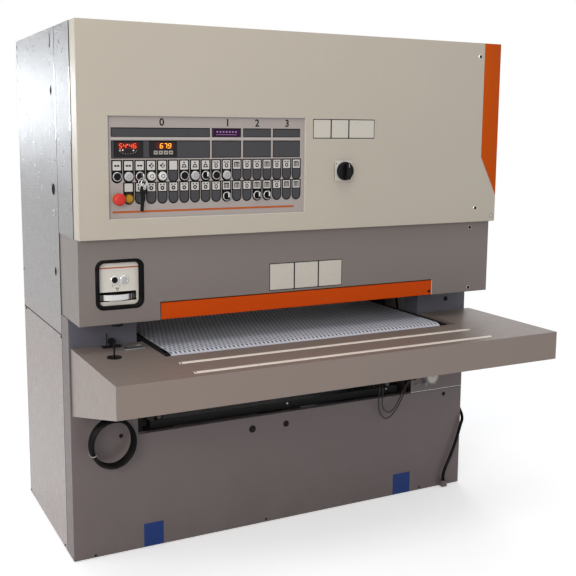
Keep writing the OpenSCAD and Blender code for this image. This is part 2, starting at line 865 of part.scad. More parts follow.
// Closed screw jacks on the cross beams, the closed chain guard that links them, and the lift motor
module lift_gear() {
    jack_top = jack_z0 + seat + jack_h;
    guard_z0 = jack_top + seat;
    guard_z1 = guard_z0 + guard_h;
    y1 = screw_rows[0];
    y2 = screw_rows[1];
    color("darkslategray") centred() {
        for (x = screw_cols, y = screw_rows)
            difference() {
                box([x - jack_w / 2, y - rail_w / 2, jack_z0 + seat],
                    [x + jack_w / 2, y + rail_w / 2, jack_top]);
                rod_z(jack_z0 - over, jack_top + over, x, y, screw_r + run);
            }
        for (y = screw_rows)
            difference() {
                box([screw_x1 - guard_w, y - guard_w / 2, guard_z0],
                    [screw_x2 + guard_w, y + guard_w / 2, guard_z1]);
                for (x = screw_cols)
                    rod_z(guard_z0 - over, guard_z1 + over, x, y, screw_r + guard_air);
            }
        for (x = screw_cols)
            box([x - guard_w / 2, y1 + guard_w / 2 + seat, guard_z0],
                [x + guard_w / 2, y2 - guard_w / 2 - seat, guard_z1]);
        rod_z(guard_z0 - lift_motor_h, guard_z0 - seat,
            body_cx, y1 + rail_w / 2 + lift_motor_r + seat, lift_motor_r);
        box([body_cx - guard_w, y1 + guard_w / 2 + seat, guard_z0],
            [body_cx + guard_w, y1 + rail_w / 2 + 2 * lift_motor_r, guard_z1]);
    }
}

// Four screws that carry the table
screw_flange_r = 19;
screw_flange_h = 10;
module lift_screws() {
    color("silver") centred()
        for (x = screw_cols, y = screw_rows) {
            rod_z(screw_z0, carrier_z0 - seat, x, y, screw_r);
            rod_z(carrier_z0 - seat - screw_flange_h, carrier_z0 - seat, x, y, screw_flange_r);
        }
}

// Pressure gauge with its bracket and two fittings on the right column's foot
regulator_side = 172;
regulator_rise = 66;
regulator_x = body_w - regulator_side;
regulator_z = low_panel_h + regulator_rise;
gauge_r = 32;
gauge_d = 26;
fitting_r = 9;
fitting_side = 27;
fitting_shift = 21;
fitting_drop = 31;
module air_regulator() {
    color("dimgray") centred() {
        rod_y(-seat - gauge_d, -seat, regulator_x, regulator_z, gauge_r);
        for (s = [-1, 1])
            rod_y(-seat - gauge_d / 2, -seat, regulator_x + s * fitting_shift,
                regulator_z - fitting_drop, fitting_r);
        rod_y(-seat - gauge_d / 3, -seat, body_w - foot_panel_w + fitting_side, regulator_z - fitting_drop,
            fitting_r / 2);
    }
}

// Points of a tube's surface: one ring of points per route point, and the faces between the rings
function unit(v) = v / norm(v);
function tangent(p, i) = unit(p[min(i + 1, len(p) - 1)] - p[max(i - 1, 0)]);
function across(t, up) = unit(cross(t, up));
function ring(p, i, r, n, up) =
    let (t = tangent(p, i), a = across(t, up), b = cross(a, t))
    [for (k = [0 : n - 1]) p[i] + r * (cos(360 * k / n) * a + sin(360 * k / n) * b)];
module tube(p, r, n, up) {
    m = len(p);
    points = [for (i = [0 : m - 1]) each ring(p, i, r, n, up)];
    walls = [for (i = [0 : m - 2], k = [0 : n - 1], h = [0, 1])
        let (a = i * n + k, b = i * n + (k + 1) % n)
        h == 0 ? [a, b, b + n] : [a, b + n, a + n]];
    first = [for (k = [1 : n - 2]) [0, k + 1, k]];
    last = [for (k = [1 : n - 2]) [(m - 1) * n, (m - 1) * n + k, (m - 1) * n + k + 1]];
    polyhedron(points, concat(walls, first, last));
}

// A smooth line through hand-chosen points, with steps pieces between two of them
function spline(p, steps) = [
    for (i = [0 : len(p) - 2], s = [0 : steps - 1])
        let (a = p[max(i - 1, 0)], b = p[i], c = p[i + 1], d = p[min(i + 2, len(p) - 1)], t = s / steps)
        0.5 * ((2 * b) + (c - a) * t + (2 * a - 5 * b + 4 * c - d) * t * t +
            (3 * b - a - 3 * c + d) * t * t * t),
    p[len(p) - 1]];

// Hose hung in a coil on the front panel: it leaves a gland, makes three loops and goes back into a gland
hose_r = 6.5;
coil_r = 84;
coil_x = 133;
coil_z = 434;
coil_loops = 3;
coil_rings = 24;
coil_step = 15;
coil_y0 = -26;
coil_flat_share = 0.92;
function coil_point(a) = [
    coil_x + coil_r * coil_flat_share * sin(a),
    coil_y0 - coil_step * a / 360,
    coil_z + coil_r * cos(a)];
coil_turns = [for (i = [0 : coil_loops * coil_rings]) coil_point(i * 360 / coil_rings)];
hose_in = [[hose_in_x, coil_y0, hose_end_z], [70, -26, 562], [74, -26, 548], [84, -26, 535], [98, -26, 526],
    [114, -26, 520]];
hose_out = [[155, -71, 518], [172, -69, 525], [186, -65, 538], [194, -61, 552], [196, -60, 563],
    [hose_out_x, hose_out_y, hose_end_z]];
hose_route = concat(hose_in, [for (i = [0 : len(coil_turns) - 1]) coil_turns[i]], hose_out);
apart = 8;
hose_gaps = [for (i = [0 : len(hose_route) - 1], j = [i + apart : 1 : len(hose_route) - 1])
    norm(hose_route[i] - hose_route[j]) - 2 * hose_r];
echo(str("least gap of the hose to itself, mm: ", min(hose_gaps)));
module hose_coil() {
    color("black") centred()
        tube(hose_route, hose_r, 6, [0, 1, 0.3]);
}

// Twin sensor lead: from the chain guard over the front panel, down in a loop and up to the foot panel
lead_r = 2.4;
lead_base = [body_w - foot_panel_w, 0, low_panel_h];
lead_end = [-161, 62, 28];
lead_outer = [lead_end, [-161, 62, 42], [-161, 52, 58], [-161, 28, 68], [-161, 0, 66], [-165, -16, 48],
    [-172, -22, 14], [-174, -22, -18], [-168, -22, -50], [-144, -22, -81], [-114, -22, -77], [-82, -22, -44],
    [-54, -22, 4], [-36, -22, 42], [-18, -21, 64], [0, -20, 72], [11, -16, 73], [14, -10, 73], [14, -5, 73],
    [14, -0.3, 73]];
lead_inner = [lead_end + [16, 0, 0], [-145, 62, 42], [-145, 52, 56], [-145, 28, 64], [-146, 0, 62],
    [-150, -16, 44], [-155, -22, 10], [-156, -22, -18], [-148, -22, -42], [-124, -22, -59], [-100, -22, -48],
    [-80, -22, -22], [-58, -22, 18], [-44, -22, 44], [-26, -20, 60], [-4, -20, 62], [10, -16, 61],
    [14, -10, 61], [14, -5, 61], [14, -0.3, 61]];
module sensor_cable() {
    color("gray") centred()
        translate(lead_base) {
            tube(spline(lead_outer, 3), lead_r, 8, [0.2, 1, 0.3]);
            tube(spline(lead_inner, 3), lead_r, 8, [0.2, 1, 0.3]);
        }
}

// Supply cable from the block on the right side, forward round the corner and down to the block at the foot
supply_r = 6.5;
cord_gap = 0.3;
supply_route = [[supply_side, supply_block_y, supply_block_z - cord_gap], [11, 40, 368], [11, 40, 358],
    [11, 32, 338], [11.5, 18, 322], [9.5, 2, 306], [2, -12.5, 288], [-10, -16.5, 262], [-22, -16, 222],
    [-40, -16, 172], [-62, -16, 124], [-84, -16, 80], [-92, -16, 54], [-92, -16, 42],
    [-supply_foot_x, supply_y, supply_foot_z + block_h + cord_gap]];
module supply_cable() {
    color("black") centred()
        translate([body_w, 0, 0])
            tube(spline(supply_route, 4), supply_r, 8, [0.2, 1, 0.3]);
}

// Door of the switch cabinet: a deep tray with the control panel's cut-out and the main switch's plate
door_side = 1.5;
module cabinet_door() {
    x0 = door_side;
    x1 = body_w - door_side;
    y0 = -door_front;
    y1 = -cabinet_front - seat;
    z0 = cabinet_z0;
    ix = isolator_plate / 2;
    color([0.73, 0.7, 0.64]) centred()
        difference() {
            union() {
                difference() {
                    box([x0, y0, z0], [x1, y1, body_h]);
                    box([x0 + sheet_t, y0 + sheet_t, z0 + sheet_t],
                        [x1 - sheet_t, y1 + over, body_h - sheet_t]);
                }
                box([isolator_x - ix, y0 - panel_t, isolator_z - ix],
                    [isolator_x + ix, y0 + sheet_t, isolator_z + ix]);
            }
            box([panel_x0, y0 - over, panel_z0],
                [panel_x0 + panel_w, y0 + sheet_t + over, panel_z0 + panel_h]);
            rod_y(y0 - panel_t - over, y0 + sheet_t + over, isolator_x, isolator_z, isolator_shaft_r + run);
        }
}

// Place of a control in the panel
function key_at(col) = key_x0 + col * key_pitch;
control_places = concat([for (c = push_cols) [c, row_1_z]],
    selector_places, [stop_place, amber_place, key_place]);

// Sunk panel plate with a bezel and a bore for each control
module control_panel() {
    y0 = -door_front + sheet_t + seat;
    y1 = plate_front + panel_t;
    color([0.72, 0.72, 0.7]) centred()
        difference() {
            union() {
                difference() {
                    box([panel_x0 - panel_rim, y0, panel_z0 - panel_rim],
                        [panel_x0 + panel_w + panel_rim, y1, panel_z0 + panel_h + panel_rim]);
                    box([panel_x0, y0 - over, panel_z0],
                        [panel_x0 + panel_w, plate_front, panel_z0 + panel_h]);
                }
                for (p = control_places)
                    rod_y(plate_front - bezel_h, plate_front, key_at(p[0]), p[1], bezel_r);
            }
            for (p = control_places)
                rod_y(plate_front - bezel_h - over, y1 + over, key_at(p[0]), p[1], button_r + run);
        }
}

// The part of a control that runs in its bezel: a cap and a thinner stem behind the panel
module control_core(x, z, proud) {
    rod_y(plate_front - bezel_h - proud, plate_front + panel_t + bezel_h, x, z, button_r);
    rod_y(plate_front + panel_t + bezel_h, plate_front + panel_t + bezel_h + stem_l, x, z, stem_r);
}

module push_button(i) {
    color("whitesmoke") centred()
        control_core(key_at(push_cols[i]), row_1_z, cap_proud);
}

module push_button_1() {
    push_button(0);
}

module push_button_2() {
    push_button(1);
}

module push_button_3() {
    push_button(2);
}

module push_button_4() {
    push_button(3);
}

module push_button_5() {
    push_button(4);
}

module push_button_6() {
    push_button(5);
}

module push_button_7() {
    push_button(6);
}

module push_button_8() {
    push_button(7);
}

module amber_button() {
    color("orange") centred()
        control_core(key_at(amber_place[0]), amber_place[1], cap_proud);
}

// Mushroom head of the emergency stop, turned from one profile
stop_head_h = 16;
stop_neck = 12;
module e_stop() {
    x = key_at(stop_place[0]);
    z = stop_place[1];
    y = plate_front - bezel_h - stop_neck;
    color("red") centred() {
        control_core(x, z, stop_neck);
        translate([x, y, z])
            rotate([90, 0, 0])
                rotate_extrude()
                    difference() {
                        square([stop_r, stop_head_h]);
                        translate([stop_r, stop_head_h])
                            rotate(45)
                                square([stop_head_h / 2, stop_head_h / 2], center = true);
                    }
    }
}

// Rotary selector with a grip bar
grip_t = 7;
grip_h = 12;
grip_in = 1;
module selector(i) {
    x = key_at(selector_places[i][0]);
    z = selector_places[i][1];
    y1 = plate_front - bezel_h - cap_proud;
    color([0.12, 0.12, 0.13]) centred() {
        control_core(x, z, cap_proud);
        box([x - grip_t / 2, y1 - grip_h, z - button_r + grip_in],
            [x + grip_t / 2, y1, z + button_r - grip_in]);
    }
}

module selector_1() {
    selector(0);
}

module selector_2() {
    selector(1);
}

module selector_3() {
    selector(2);
}

module selector_4() {
    selector(3);
}

// Key switch with its key, the ring and the spare key that hangs from it
key_t = 2.4;
key_w = 9;
key_bow_r = 12;
key_bow_hole = 3.5;
ring_r = 13;
ring_t = 1.2;
spare_l = 48;
spare_hole_r = 2.5;
key_out = 20;
module key_switch() {
    x = key_at(key_place[0]);
    z = key_place[1];
    y1 = plate_front - bezel_h - cap_proud;
    bow_y = y1 - key_out;
    bow_drop = key_bow_r / 2;
    ring_z = z - bow_drop - ring_r + ring_t;
    spare_z = ring_z - ring_r + ring_t;
    color([0.75, 0.75, 0.76]) centred() {
        control_core(x, z, cap_proud);
        box([x - key_t / 2, bow_y, z - key_w / 2], [x + key_t / 2, y1, z + key_w / 2]);
        difference() {
            rod_x(x - key_t / 2, x + key_t / 2, bow_y, z, key_bow_r);
            rod_x(x - key_t, x + key_t, bow_y, z - bow_drop, key_bow_hole);
        }
        translate([x, bow_y, ring_z])
            rotate([90, 0, 0])
                rotate_extrude()
                    translate([ring_r, 0])
                        circle(ring_t, $fn = 16);
        difference() {
            union() {
                rod_y(bow_y - key_t / 2, bow_y + key_t / 2, x, spare_z - key_bow_r / 2, key_bow_r);
                box([x - key_w / 2, bow_y - key_t / 2, spare_z - spare_l],
                    [x + key_w / 2, bow_y + key_t / 2, spare_z - key_bow_r]);
            }
            rod_y(bow_y - key_t, bow_y + key_t, x, spare_z - spare_hole_r / 2, spare_hole_r);
        }
    }
}

// Knob of the main switch, with its grip and shaft
isolator_h = 14;
isolator_grip_w = 15;
isolator_grip_h = 20;
isolator_shaft_l = 45;
module isolator_knob() {
    y1 = -door_front - panel_t - seat;
    y0 = y1 - isolator_h;
    color([0.1, 0.1, 0.1]) centred() {
        rod_y(y0, y1, isolator_x, isolator_z, isolator_r);
        rod_y(y1, y1 + isolator_shaft_l, isolator_x, isolator_z, isolator_shaft_r);
        box([isolator_x - isolator_grip_w / 2, y0 - isolator_grip_h, isolator_z - isolator_r + panel_t],
            [isolator_x + isolator_grip_w / 2, y0, isolator_z + isolator_r - panel_t]);
    }
}

// Upper left side door through which the abrasive belts are changed
lock_y = 60;
slot_half = 6;
key_hole_r = 9;
key_hole_drop = 56;
finger_r = 14;
finger_drop = 545;
slot_drops = [[63, 18], [225, 190], [851, 816]];
door_ref_h = 1049;
module side_door() {
    y = seam_y + lock_y;
    k = (body_h - base_h) / door_ref_h;
    color([0.5, 0.48, 0.47]) centred()
        difference() {
            tray_x(0, seam_y + seat, body_d, base_h, body_h);
            plate_x(-over, sheet_t + over) {
                for (d = slot_drops)
                    soft_rect([y - slot_half, body_h - d[0] * k],
                        [y + slot_half, body_h - d[1] * k], slot_half - run);
                translate([y, body_h - key_hole_drop * k])
                    circle(key_hole_r);
                translate([y, body_h - finger_drop * k])
                    circle(finger_r);
            }
        }
}

// Conveyor bed: side rails, sliding plate, cross tubes, the carriers on the screws, the feed motor
tube_w = 50;
gear_d = 70;
feed_motor_r = 48;
feed_motor_l = 120;
shaft_gap = 1;
module conveyor_bed() {
    y0 = return_y - belt_r + rail_t;
    y1 = drive_y + belt_r - rail_t;
    plate_y0 = return_y + belt_r + rail_t;
    plate_y1 = drive_y - belt_r - rail_t;
    plate_z1 = belt_top - belt_t - seat;
    rail_top_z = shelf_top - seat;
    color("lightslategray") centred() {
        for (x = [bed_x0, bed_x1 - rail_t])
            difference() {
                box([x, y0, bed_z0], [x + rail_t, y1, rail_top_z]);
                for (y = [return_y, drive_y])
                    rod_x(x - over, x + rail_t + over, y, bed_axis_z, screw_r + run);
            }
        box([bed_x0 + rail_t + seat, plate_y0, plate_z1 - rail_t / 2],
            [bed_x1 - rail_t - seat, plate_y1, plate_z1]);
        for (y = [plate_y0, (plate_y0 + plate_y1 - tube_w) / 2, plate_y1 - tube_w])
            box([bed_x0 + rail_t + seat, y, plate_z1 - rail_t / 2 - seat - tube_w],
                [bed_x1 - rail_t - seat, y + tube_w, plate_z1 - rail_t / 2 - seat]);
        for (y = screw_rows)
            box([bed_x0, y - carrier_w / 2, carrier_z0], [bed_x1, y + carrier_w / 2, carrier_z0 + carrier_h]);
        difference() {
            union() {
                box([bed_x1 + seat, drive_y - tube_w, bed_axis_z - tube_w],
                    [bed_x1 + gear_d, drive_y + tube_w, bed_axis_z + tube_w]);
                rod_x(bed_x1 + gear_d, bed_x1 + gear_d + feed_motor_l, drive_y, bed_axis_z, feed_motor_r);
            }
            rod_x(bed_x1 - over, bed_x1 + gear_d / 2, drive_y, bed_axis_z, screw_r + run);
        }
    }
}

// Endless conveyor belt
module belt_core(r, x0, x1) {
    for (y = [return_y, drive_y])
        rod_x(x0, x1, y, bed_axis_z, r);
    box([x0, return_y, bed_axis_z - r], [x1, drive_y, bed_axis_z + r]);
}

module conveyor_belt() {
    x0 = body_cx - belt_span / 2;
    x1 = body_cx + belt_span / 2;
    color([0.8, 0.82, 0.85]) centred()
        difference() {
            belt_core(belt_r + belt_t, x0, x1);
            belt_core(belt_r, x0 - over, x1 + over);
        }
}

// End roller of the conveyor; x1 is its shaft's right end
module bed_roller(y, x1) {
    color("silver") centred() {
        rod_x(body_cx - belt_span / 2, body_cx + belt_span / 2, y, bed_axis_z, bed_roller_r);
        rod_x(bed_x0 + shaft_gap, x1, y, bed_axis_z, screw_r);
    }
}

module drive_roller() {
    bed_roller(drive_y, bed_x1 + gear_d / 2 - shaft_gap);
}

module return_roller() {
    bed_roller(return_y, bed_x1 - shaft_gap);
}

// Infeed shelf: an open-bottomed tray with the conveyor's notch and two roller slots
shelf_t = 3;
shelf_gap = 3;
shelf_hem = 14;
notch_x0 = bed_x0 - seat;
notch_side = 15;
notch_x1 = right_x + notch_side;
notch_y = -bed_front - shelf_gap;
notch_h = 100;
idle_ys = [-340, -466];
idle_rise = 2;
idle_z = shelf_top + idle_rise - idle_r;
idle_x0 = 268;
idle_l = 1167;
idle_span = idle_l + widen;
idle_pin_r = 5;
idle_slot = 1.2;
idle_ear = 4;
post_x = 103;
post_y = -186;
post_hole_r = 17;
module infeed_shelf() {
    y0 = -shelf_d;
    y1 = -shelf_gap;
    z1 = shelf_top;
    front_z = z1 - shelf_front_h;
    rear_z = z1 - shelf_rear_h;
    x1 = idle_x0 + idle_span;
    slot_half_w = sqrt(idle_r * idle_r - pow(idle_z - z1 + shelf_t, 2)) + idle_slot;
    color([0.56, 0.52, 0.49]) centred()
        difference() {
            union() {
                difference() {
                    box([shelf_x0, y0, z1 - shelf_t], [shelf_x1, y1, z1]);
                    box([notch_x0, notch_y, z1 - notch_h], [notch_x1, y1 + over, z1 + over]);
                    for (y = idle_ys)
                        box([idle_x0 - idle_slot, y - slot_half_w, z1 - notch_h],
                            [x1 + idle_slot, y + slot_half_w, z1 + over]);
                    rod_z(z1 - shelf_t - over, z1 + over, post_x, post_y, post_hole_r);
                }
                box([shelf_x0, y0, front_z], [shelf_x1, y0 + shelf_t, z1]);
                box([shelf_x0, y0, front_z], [shelf_x1, y0 + shelf_hem, front_z + shelf_t]);
                for (x = [shelf_x0, shelf_x1 - shelf_t])
                    plate_x(x, x + shelf_t)
                        polygon([[y0, z1], [y0, front_z], [y1, rear_z], [y1, z1]]);
                box([notch_x0 - shelf_t, notch_y - shelf_t, z1 - notch_h], [notch_x1 + shelf_t, notch_y, z1]);
                for (x = [notch_x0 - shelf_t, notch_x1])
                    box([x, notch_y - shelf_t, z1 - notch_h], [x + shelf_t, y1, z1]);
                box([bed_x1 + seat, notch_y, z1 - notch_h],
                    [notch_x1, notch_y / 2, z1 - notch_h + shelf_hem]);
                for (y = idle_ys, x = [idle_x0 - idle_slot - idle_ear, x1 + idle_slot])
                    box([x, y - idle_r, idle_z - idle_r / 2], [x + idle_ear, y + idle_r, z1 - shelf_t]);
            }
            for (y = idle_ys)
                rod_x(idle_x0 - 2 * idle_ear, x1 + 2 * idle_ear, y, idle_z, idle_pin_r + run);
        }
}

// Idle roller of the shelf
module infeed_roller(y) {
    color("lightgray") centred() {
        rod_x(idle_x0, idle_x0 + idle_span, y, idle_z, idle_r);
        rod_x(idle_x0 - idle_ear, idle_x0 + idle_span + idle_ear, y, idle_z, idle_pin_r);
    }
}

module infeed_roller_1() {
    infeed_roller(idle_ys[0]);
}

module infeed_roller_2() {
    infeed_roller(idle_ys[1]);
}

// Feeler of the thickness gauge on the shelf: a pin in a bush, and a dial on its foot plate
feeler_r = 3;
feeler_h = 52;
bush_h = 3;
bush_w = 7;
dial_place = [140, -35];
dial_r = 13;
dial_t = 8;
dial_rise = 18;
dial_plate = [68, 34, 2];
dial_rod_r = 2;
dial_rod_x = 17;
module gauge_post() {
    z = shelf_top;
    color([0.1, 0.1, 0.1]) centred() {
        difference() {
            rod_z(z + seat, z + seat + bush_h, post_x, post_y, post_hole_r + bush_w);
            rod_z(z, z + bush_h + over, post_x, post_y, post_hole_r);
        }
        rod_z(z - shelf_t, z - seat, post_x, post_y, post_hole_r - seat);
        rod_z(z - seat, z + feeler_h, post_x, post_y, feeler_r);
        translate([dial_place[0], dial_place[1], z + seat]) {
            translate([-dial_plate[0] / 2, -dial_plate[1] / 2, 0])
                cube(dial_plate);
            rod_y(-dial_t / 2, dial_t / 2, 0, dial_rise, dial_r);
            rod_z(0, dial_rise, 0, 0, feeler_r);
            rod_z(0, feeler_h - bush_h, -dial_rod_x, 0, dial_rod_r);
        }
    }
}

// Safety bar at the throat: a folded strip that hangs on two stub pins and swings inwards
module safety_bar() {
    x1 = bar_x0 + bar_span;
    y0 = -mid_front - bar_proud;
    color([0.85, 0.35, 0.08]) centred() {
        box([bar_x0, y0, bar_z0], [x1, y0 + bar_t, bar_top]);
        box([bar_x0, y0, bar_top - bar_t], [x1, y0 + bar_lip, bar_top]);
        for (x = [bar_x0, x1 - bar_t])
            box([x, y0, bar_pivot_z - bar_lip], [x + bar_t, bar_pivot_y + bar_pin_r + bar_t, bar_top]);
        rod_x(bar_x0 - bar_side - ear_t, bar_x0 + over, bar_pivot_y, bar_pivot_z, bar_pin_r);
        rod_x(x1 - over, x1 + bar_side + ear_t, bar_pivot_y, bar_pivot_z, bar_pin_r);
    }
}

// Thumbwheel of the gauge with its spindle
module gauge_wheel() {
    color("silver") centred() {
        rod_z(wheel_z0, wheel_z0 + wheel_h, gauge_x, wheel_y, wheel_r);
        rod_z(wheel_z0 - 2 * gauge_wall, wheel_z0 + wheel_h + gauge_wall, gauge_x, wheel_y, wheel_pin_r);
    }
}

// Foot of the gauge under the middle panel
module gauge_foot() {
    z0 = mid_z0 - foot_drop;
    color([0.12, 0.12, 0.12]) centred() {
        rod_z(z0, z0 + foot_h, gauge_x, foot_y, foot_r);
        rod_z(z0 + foot_h, z0 + foot_h + foot_rod_l, gauge_x, foot_y, foot_rod_r);
    }
}

// Push buttons of the gauge
module gauge_button(i) {
    x = gauge_button_xs[i];
    color("whitesmoke") centred()
        rod_y(gauge_face - bezel_h - gauge_cap_proud, gauge_face + sheet_t + bezel_h, x, gauge_button_z,
            gauge_button_r);
}

module gauge_button_1() {
    gauge_button(0);
}

module gauge_button_2() {
    gauge_button(1);
}

base_frame();
levelling_feet();
base_front_panel();
base_side_covers();
base_rear_panel();
upper_frame();
roof_panel();
upper_right_cover();
upper_rear_cover();
front_cabinet();
electrics();
mid_panel();
gauge_plate();
main_motor();
motor_pulley();
drive_belts();
sanding_units();
contact_roller_1();
contact_roller_2();
tension_roller_1();
tension_roller_2();
abrasive_belts();
lift_gear();
lift_screws();
air_regulator();
hose_coil();
sensor_cable();
supply_cable();
cabinet_door();
control_panel();
side_door();
conveyor_bed();
conveyor_belt();
drive_roller();
return_roller();
infeed_shelf();
infeed_roller_1();
infeed_roller_2();
gauge_post();
safety_bar();
gauge_wheel();
gauge_foot();
gauge_button_1();
gauge_button_2();
isolator_knob();
e_stop();
amber_button();
key_switch();
selector_1();
selector_2();
selector_3();
selector_4();
push_button_1();
push_button_2();
push_button_3();
push_button_4();
push_button_5();
push_button_6();
push_button_7();
push_button_8();
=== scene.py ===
import bpy
import bmesh
import math
from mathutils import Vector, Matrix


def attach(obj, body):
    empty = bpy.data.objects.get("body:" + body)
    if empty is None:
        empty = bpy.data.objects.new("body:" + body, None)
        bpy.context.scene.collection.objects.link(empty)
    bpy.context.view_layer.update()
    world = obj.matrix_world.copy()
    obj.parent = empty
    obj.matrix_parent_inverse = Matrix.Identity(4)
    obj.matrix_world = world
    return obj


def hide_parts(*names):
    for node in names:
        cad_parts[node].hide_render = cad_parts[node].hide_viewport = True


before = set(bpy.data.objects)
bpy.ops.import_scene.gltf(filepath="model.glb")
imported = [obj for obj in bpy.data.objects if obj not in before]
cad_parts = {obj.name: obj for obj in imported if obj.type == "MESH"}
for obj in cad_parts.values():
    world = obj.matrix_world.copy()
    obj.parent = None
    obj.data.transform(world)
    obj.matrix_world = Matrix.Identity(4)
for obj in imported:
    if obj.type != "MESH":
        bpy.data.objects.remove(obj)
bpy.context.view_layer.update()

# Places: the source's machine axes, in mm from the body's left front corner, to the row frame in m
MX, MY = 854.0, 188.0


def place(x, y, z):
    return Vector(((x - MX) / 1000, (y - MY) / 1000, z / 1000))


def add_object(name, data):
    ob = bpy.data.objects.new(name, data)
    bpy.context.scene.collection.objects.link(ob)
    return ob


# Camera fitted to the photograph: pixels of its frame, radians, and machine millimetres
IMAGE_PX = 576
FOCAL_PX = 902.2633
MIDDLE_PX = (274.2964, 260.4259)
AZIMUTH, ELEVATION, ROLL = 0.47097188, 0.14243406, 0.00640514
CAMERA_AT = (-737.144, -2984.541, 1509.537)
SENSOR = 36.0


def make_camera():
    sin_a, cos_a, cos_e = math.sin(AZIMUTH), math.cos(AZIMUTH), math.cos(ELEVATION)
    forward = Vector((sin_a * cos_e, cos_a * cos_e, -math.sin(ELEVATION)))
    level = Vector((cos_a, -sin_a, 0.0))
    upward = level.cross(forward)
    c, s = math.cos(ROLL), math.sin(ROLL)
    turn = Matrix((level * c + upward * s, upward * c - level * s, -forward)).transposed().to_4x4()
    turn.translation = place(*CAMERA_AT)
    cam = bpy.data.cameras.new("photo_camera")
    cam.sensor_width = SENSOR
    cam.sensor_fit = "HORIZONTAL"
    cam.lens = FOCAL_PX / IMAGE_PX * SENSOR
    cam.shift_x = (IMAGE_PX / 2 - MIDDLE_PX[0]) / IMAGE_PX
    cam.shift_y = (MIDDLE_PX[1] - IMAGE_PX / 2) / IMAGE_PX
    cam.clip_end = 100
    ob = add_object("photo_camera", cam)
    ob.matrix_world = turn
    bpy.context.scene.camera = ob


make_camera()


# Materials
class Mat:
    """A principled material with procedural detail at real scale; coordinates are metres on the piece."""

    def __init__(self, name, color, rough=0.5, metal=0.0, coat=0.0, coat_rough=0.2, spec=0.5):
        self.m = bpy.data.materials.new(name)
        self.m.use_nodes = True
        self.m.diffuse_color = (*color, 1)
        self.nt = self.m.node_tree
        self.b = self.nt.nodes["Principled BSDF"]
        values = {"Base Color": (*color, 1), "Roughness": rough, "Metallic": metal, "Coat Weight": coat,
                  "Coat Roughness": coat_rough, "Specular IOR Level": spec}
        for socket, value in values.items():
            self.b.inputs[socket].default_value = value
        self.color = color
        self.tc = self.nt.nodes.new("ShaderNodeTexCoord")
        self.col_out = None
        self.normal = None

    def node(self, kind, **k):
        n = self.nt.nodes.new(kind)
        for a, v in k.items():
            setattr(n, a, v)
        return n

    def link(self, a, b):
        self.nt.links.new(a, b)

    def coords(self, scale):
        mp = self.node("ShaderNodeMapping")
        mp.inputs["Scale"].default_value = scale
        self.link(self.tc.outputs["Object"], mp.inputs["Vector"])
        return mp.outputs["Vector"]

    def axis(self, name, vec=None):
        sp = self.node("ShaderNodeSeparateXYZ")
        self.link(vec or self.tc.outputs["Object"], sp.inputs[0])
        return sp.outputs[name]

    def noise(self, scale, detail=3, rough=0.5, vec=None):
        n = self.node("ShaderNodeTexNoise")
        n.inputs["Scale"].default_value = scale
        n.inputs["Detail"].default_value = detail
        n.inputs["Roughness"].default_value = rough
        self.link(vec or self.tc.outputs["Object"], n.inputs["Vector"])
        return n.outputs["Fac"]

    def ramp(self, fac, a, b, lo=0.0, hi=1.0):
        r = self.node("ShaderNodeMapRange", clamp=True)
        for socket, value in (("From Min", a), ("From Max", b), ("To Min", lo), ("To Max", hi)):
            r.inputs[socket].default_value = value
        self.link(fac, r.inputs["Value"])
        return r.outputs["Result"]

    def z_fade(self, z0, z1):
        """1 at height z0 and 0 at z1."""
        return self.ramp(self.axis("Z"), z0, z1, 1.0, 0.0)

    def math(self, op, *values):
        n = self.node("ShaderNodeMath", operation=op)
        for socket, v in zip(n.inputs, values):
            if isinstance(v, (int, float)):
                socket.default_value = v
            else:
                self.link(v, socket)
        return n.outputs[0]

    def tint(self, fac, color):
        """Mixes a colour over the base where fac is 1."""
        mx = self.node("ShaderNodeMix", data_type="RGBA")
        self.link(fac, mx.inputs["Factor"])
        if self.col_out is None:
            mx.inputs["A"].default_value = (*self.color, 1)
        else:
            self.link(self.col_out, mx.inputs["A"])
        mx.inputs["B"].default_value = (*color, 1)
        self.col_out = mx.outputs["Result"]

    def rough(self, fac, lo, hi):
        self.link(self.ramp(fac, 0, 1, lo, hi), self.b.inputs["Roughness"])

    def bump(self, height, strength, distance):
        bp = self.node("ShaderNodeBump")
        bp.inputs["Strength"].default_value = strength
        bp.inputs["Distance"].default_value = distance
        self.link(height, bp.inputs["Height"])
        if self.normal is not None:
            self.link(self.normal, bp.inputs["Normal"])
        self.normal = bp.outputs["Normal"]

    def soft_edges(self, radius):
        bv = self.node("ShaderNodeBevel", samples=4)
        bv.inputs["Radius"].default_value = radius
        self.normal = bv.outputs["Normal"]

    def done(self):
        if self.col_out is not None:
            self.link(self.col_out, self.b.inputs["Base Color"])
        if self.normal is not None:
            self.link(self.normal, self.b.inputs["Normal"])
            self.link(self.normal, self.b.inputs["Coat Normal"])
        return self.m


def srgb(r, g, b):
    def f(c):
        c /= 255
        return c / 12.92 if c <= 0.04045 else ((c + 0.055) / 1.055) ** 2.4
    return (f(r), f(g), f(b))


def shade(c, k):
    return tuple(min(1.0, v * k) for v in c)


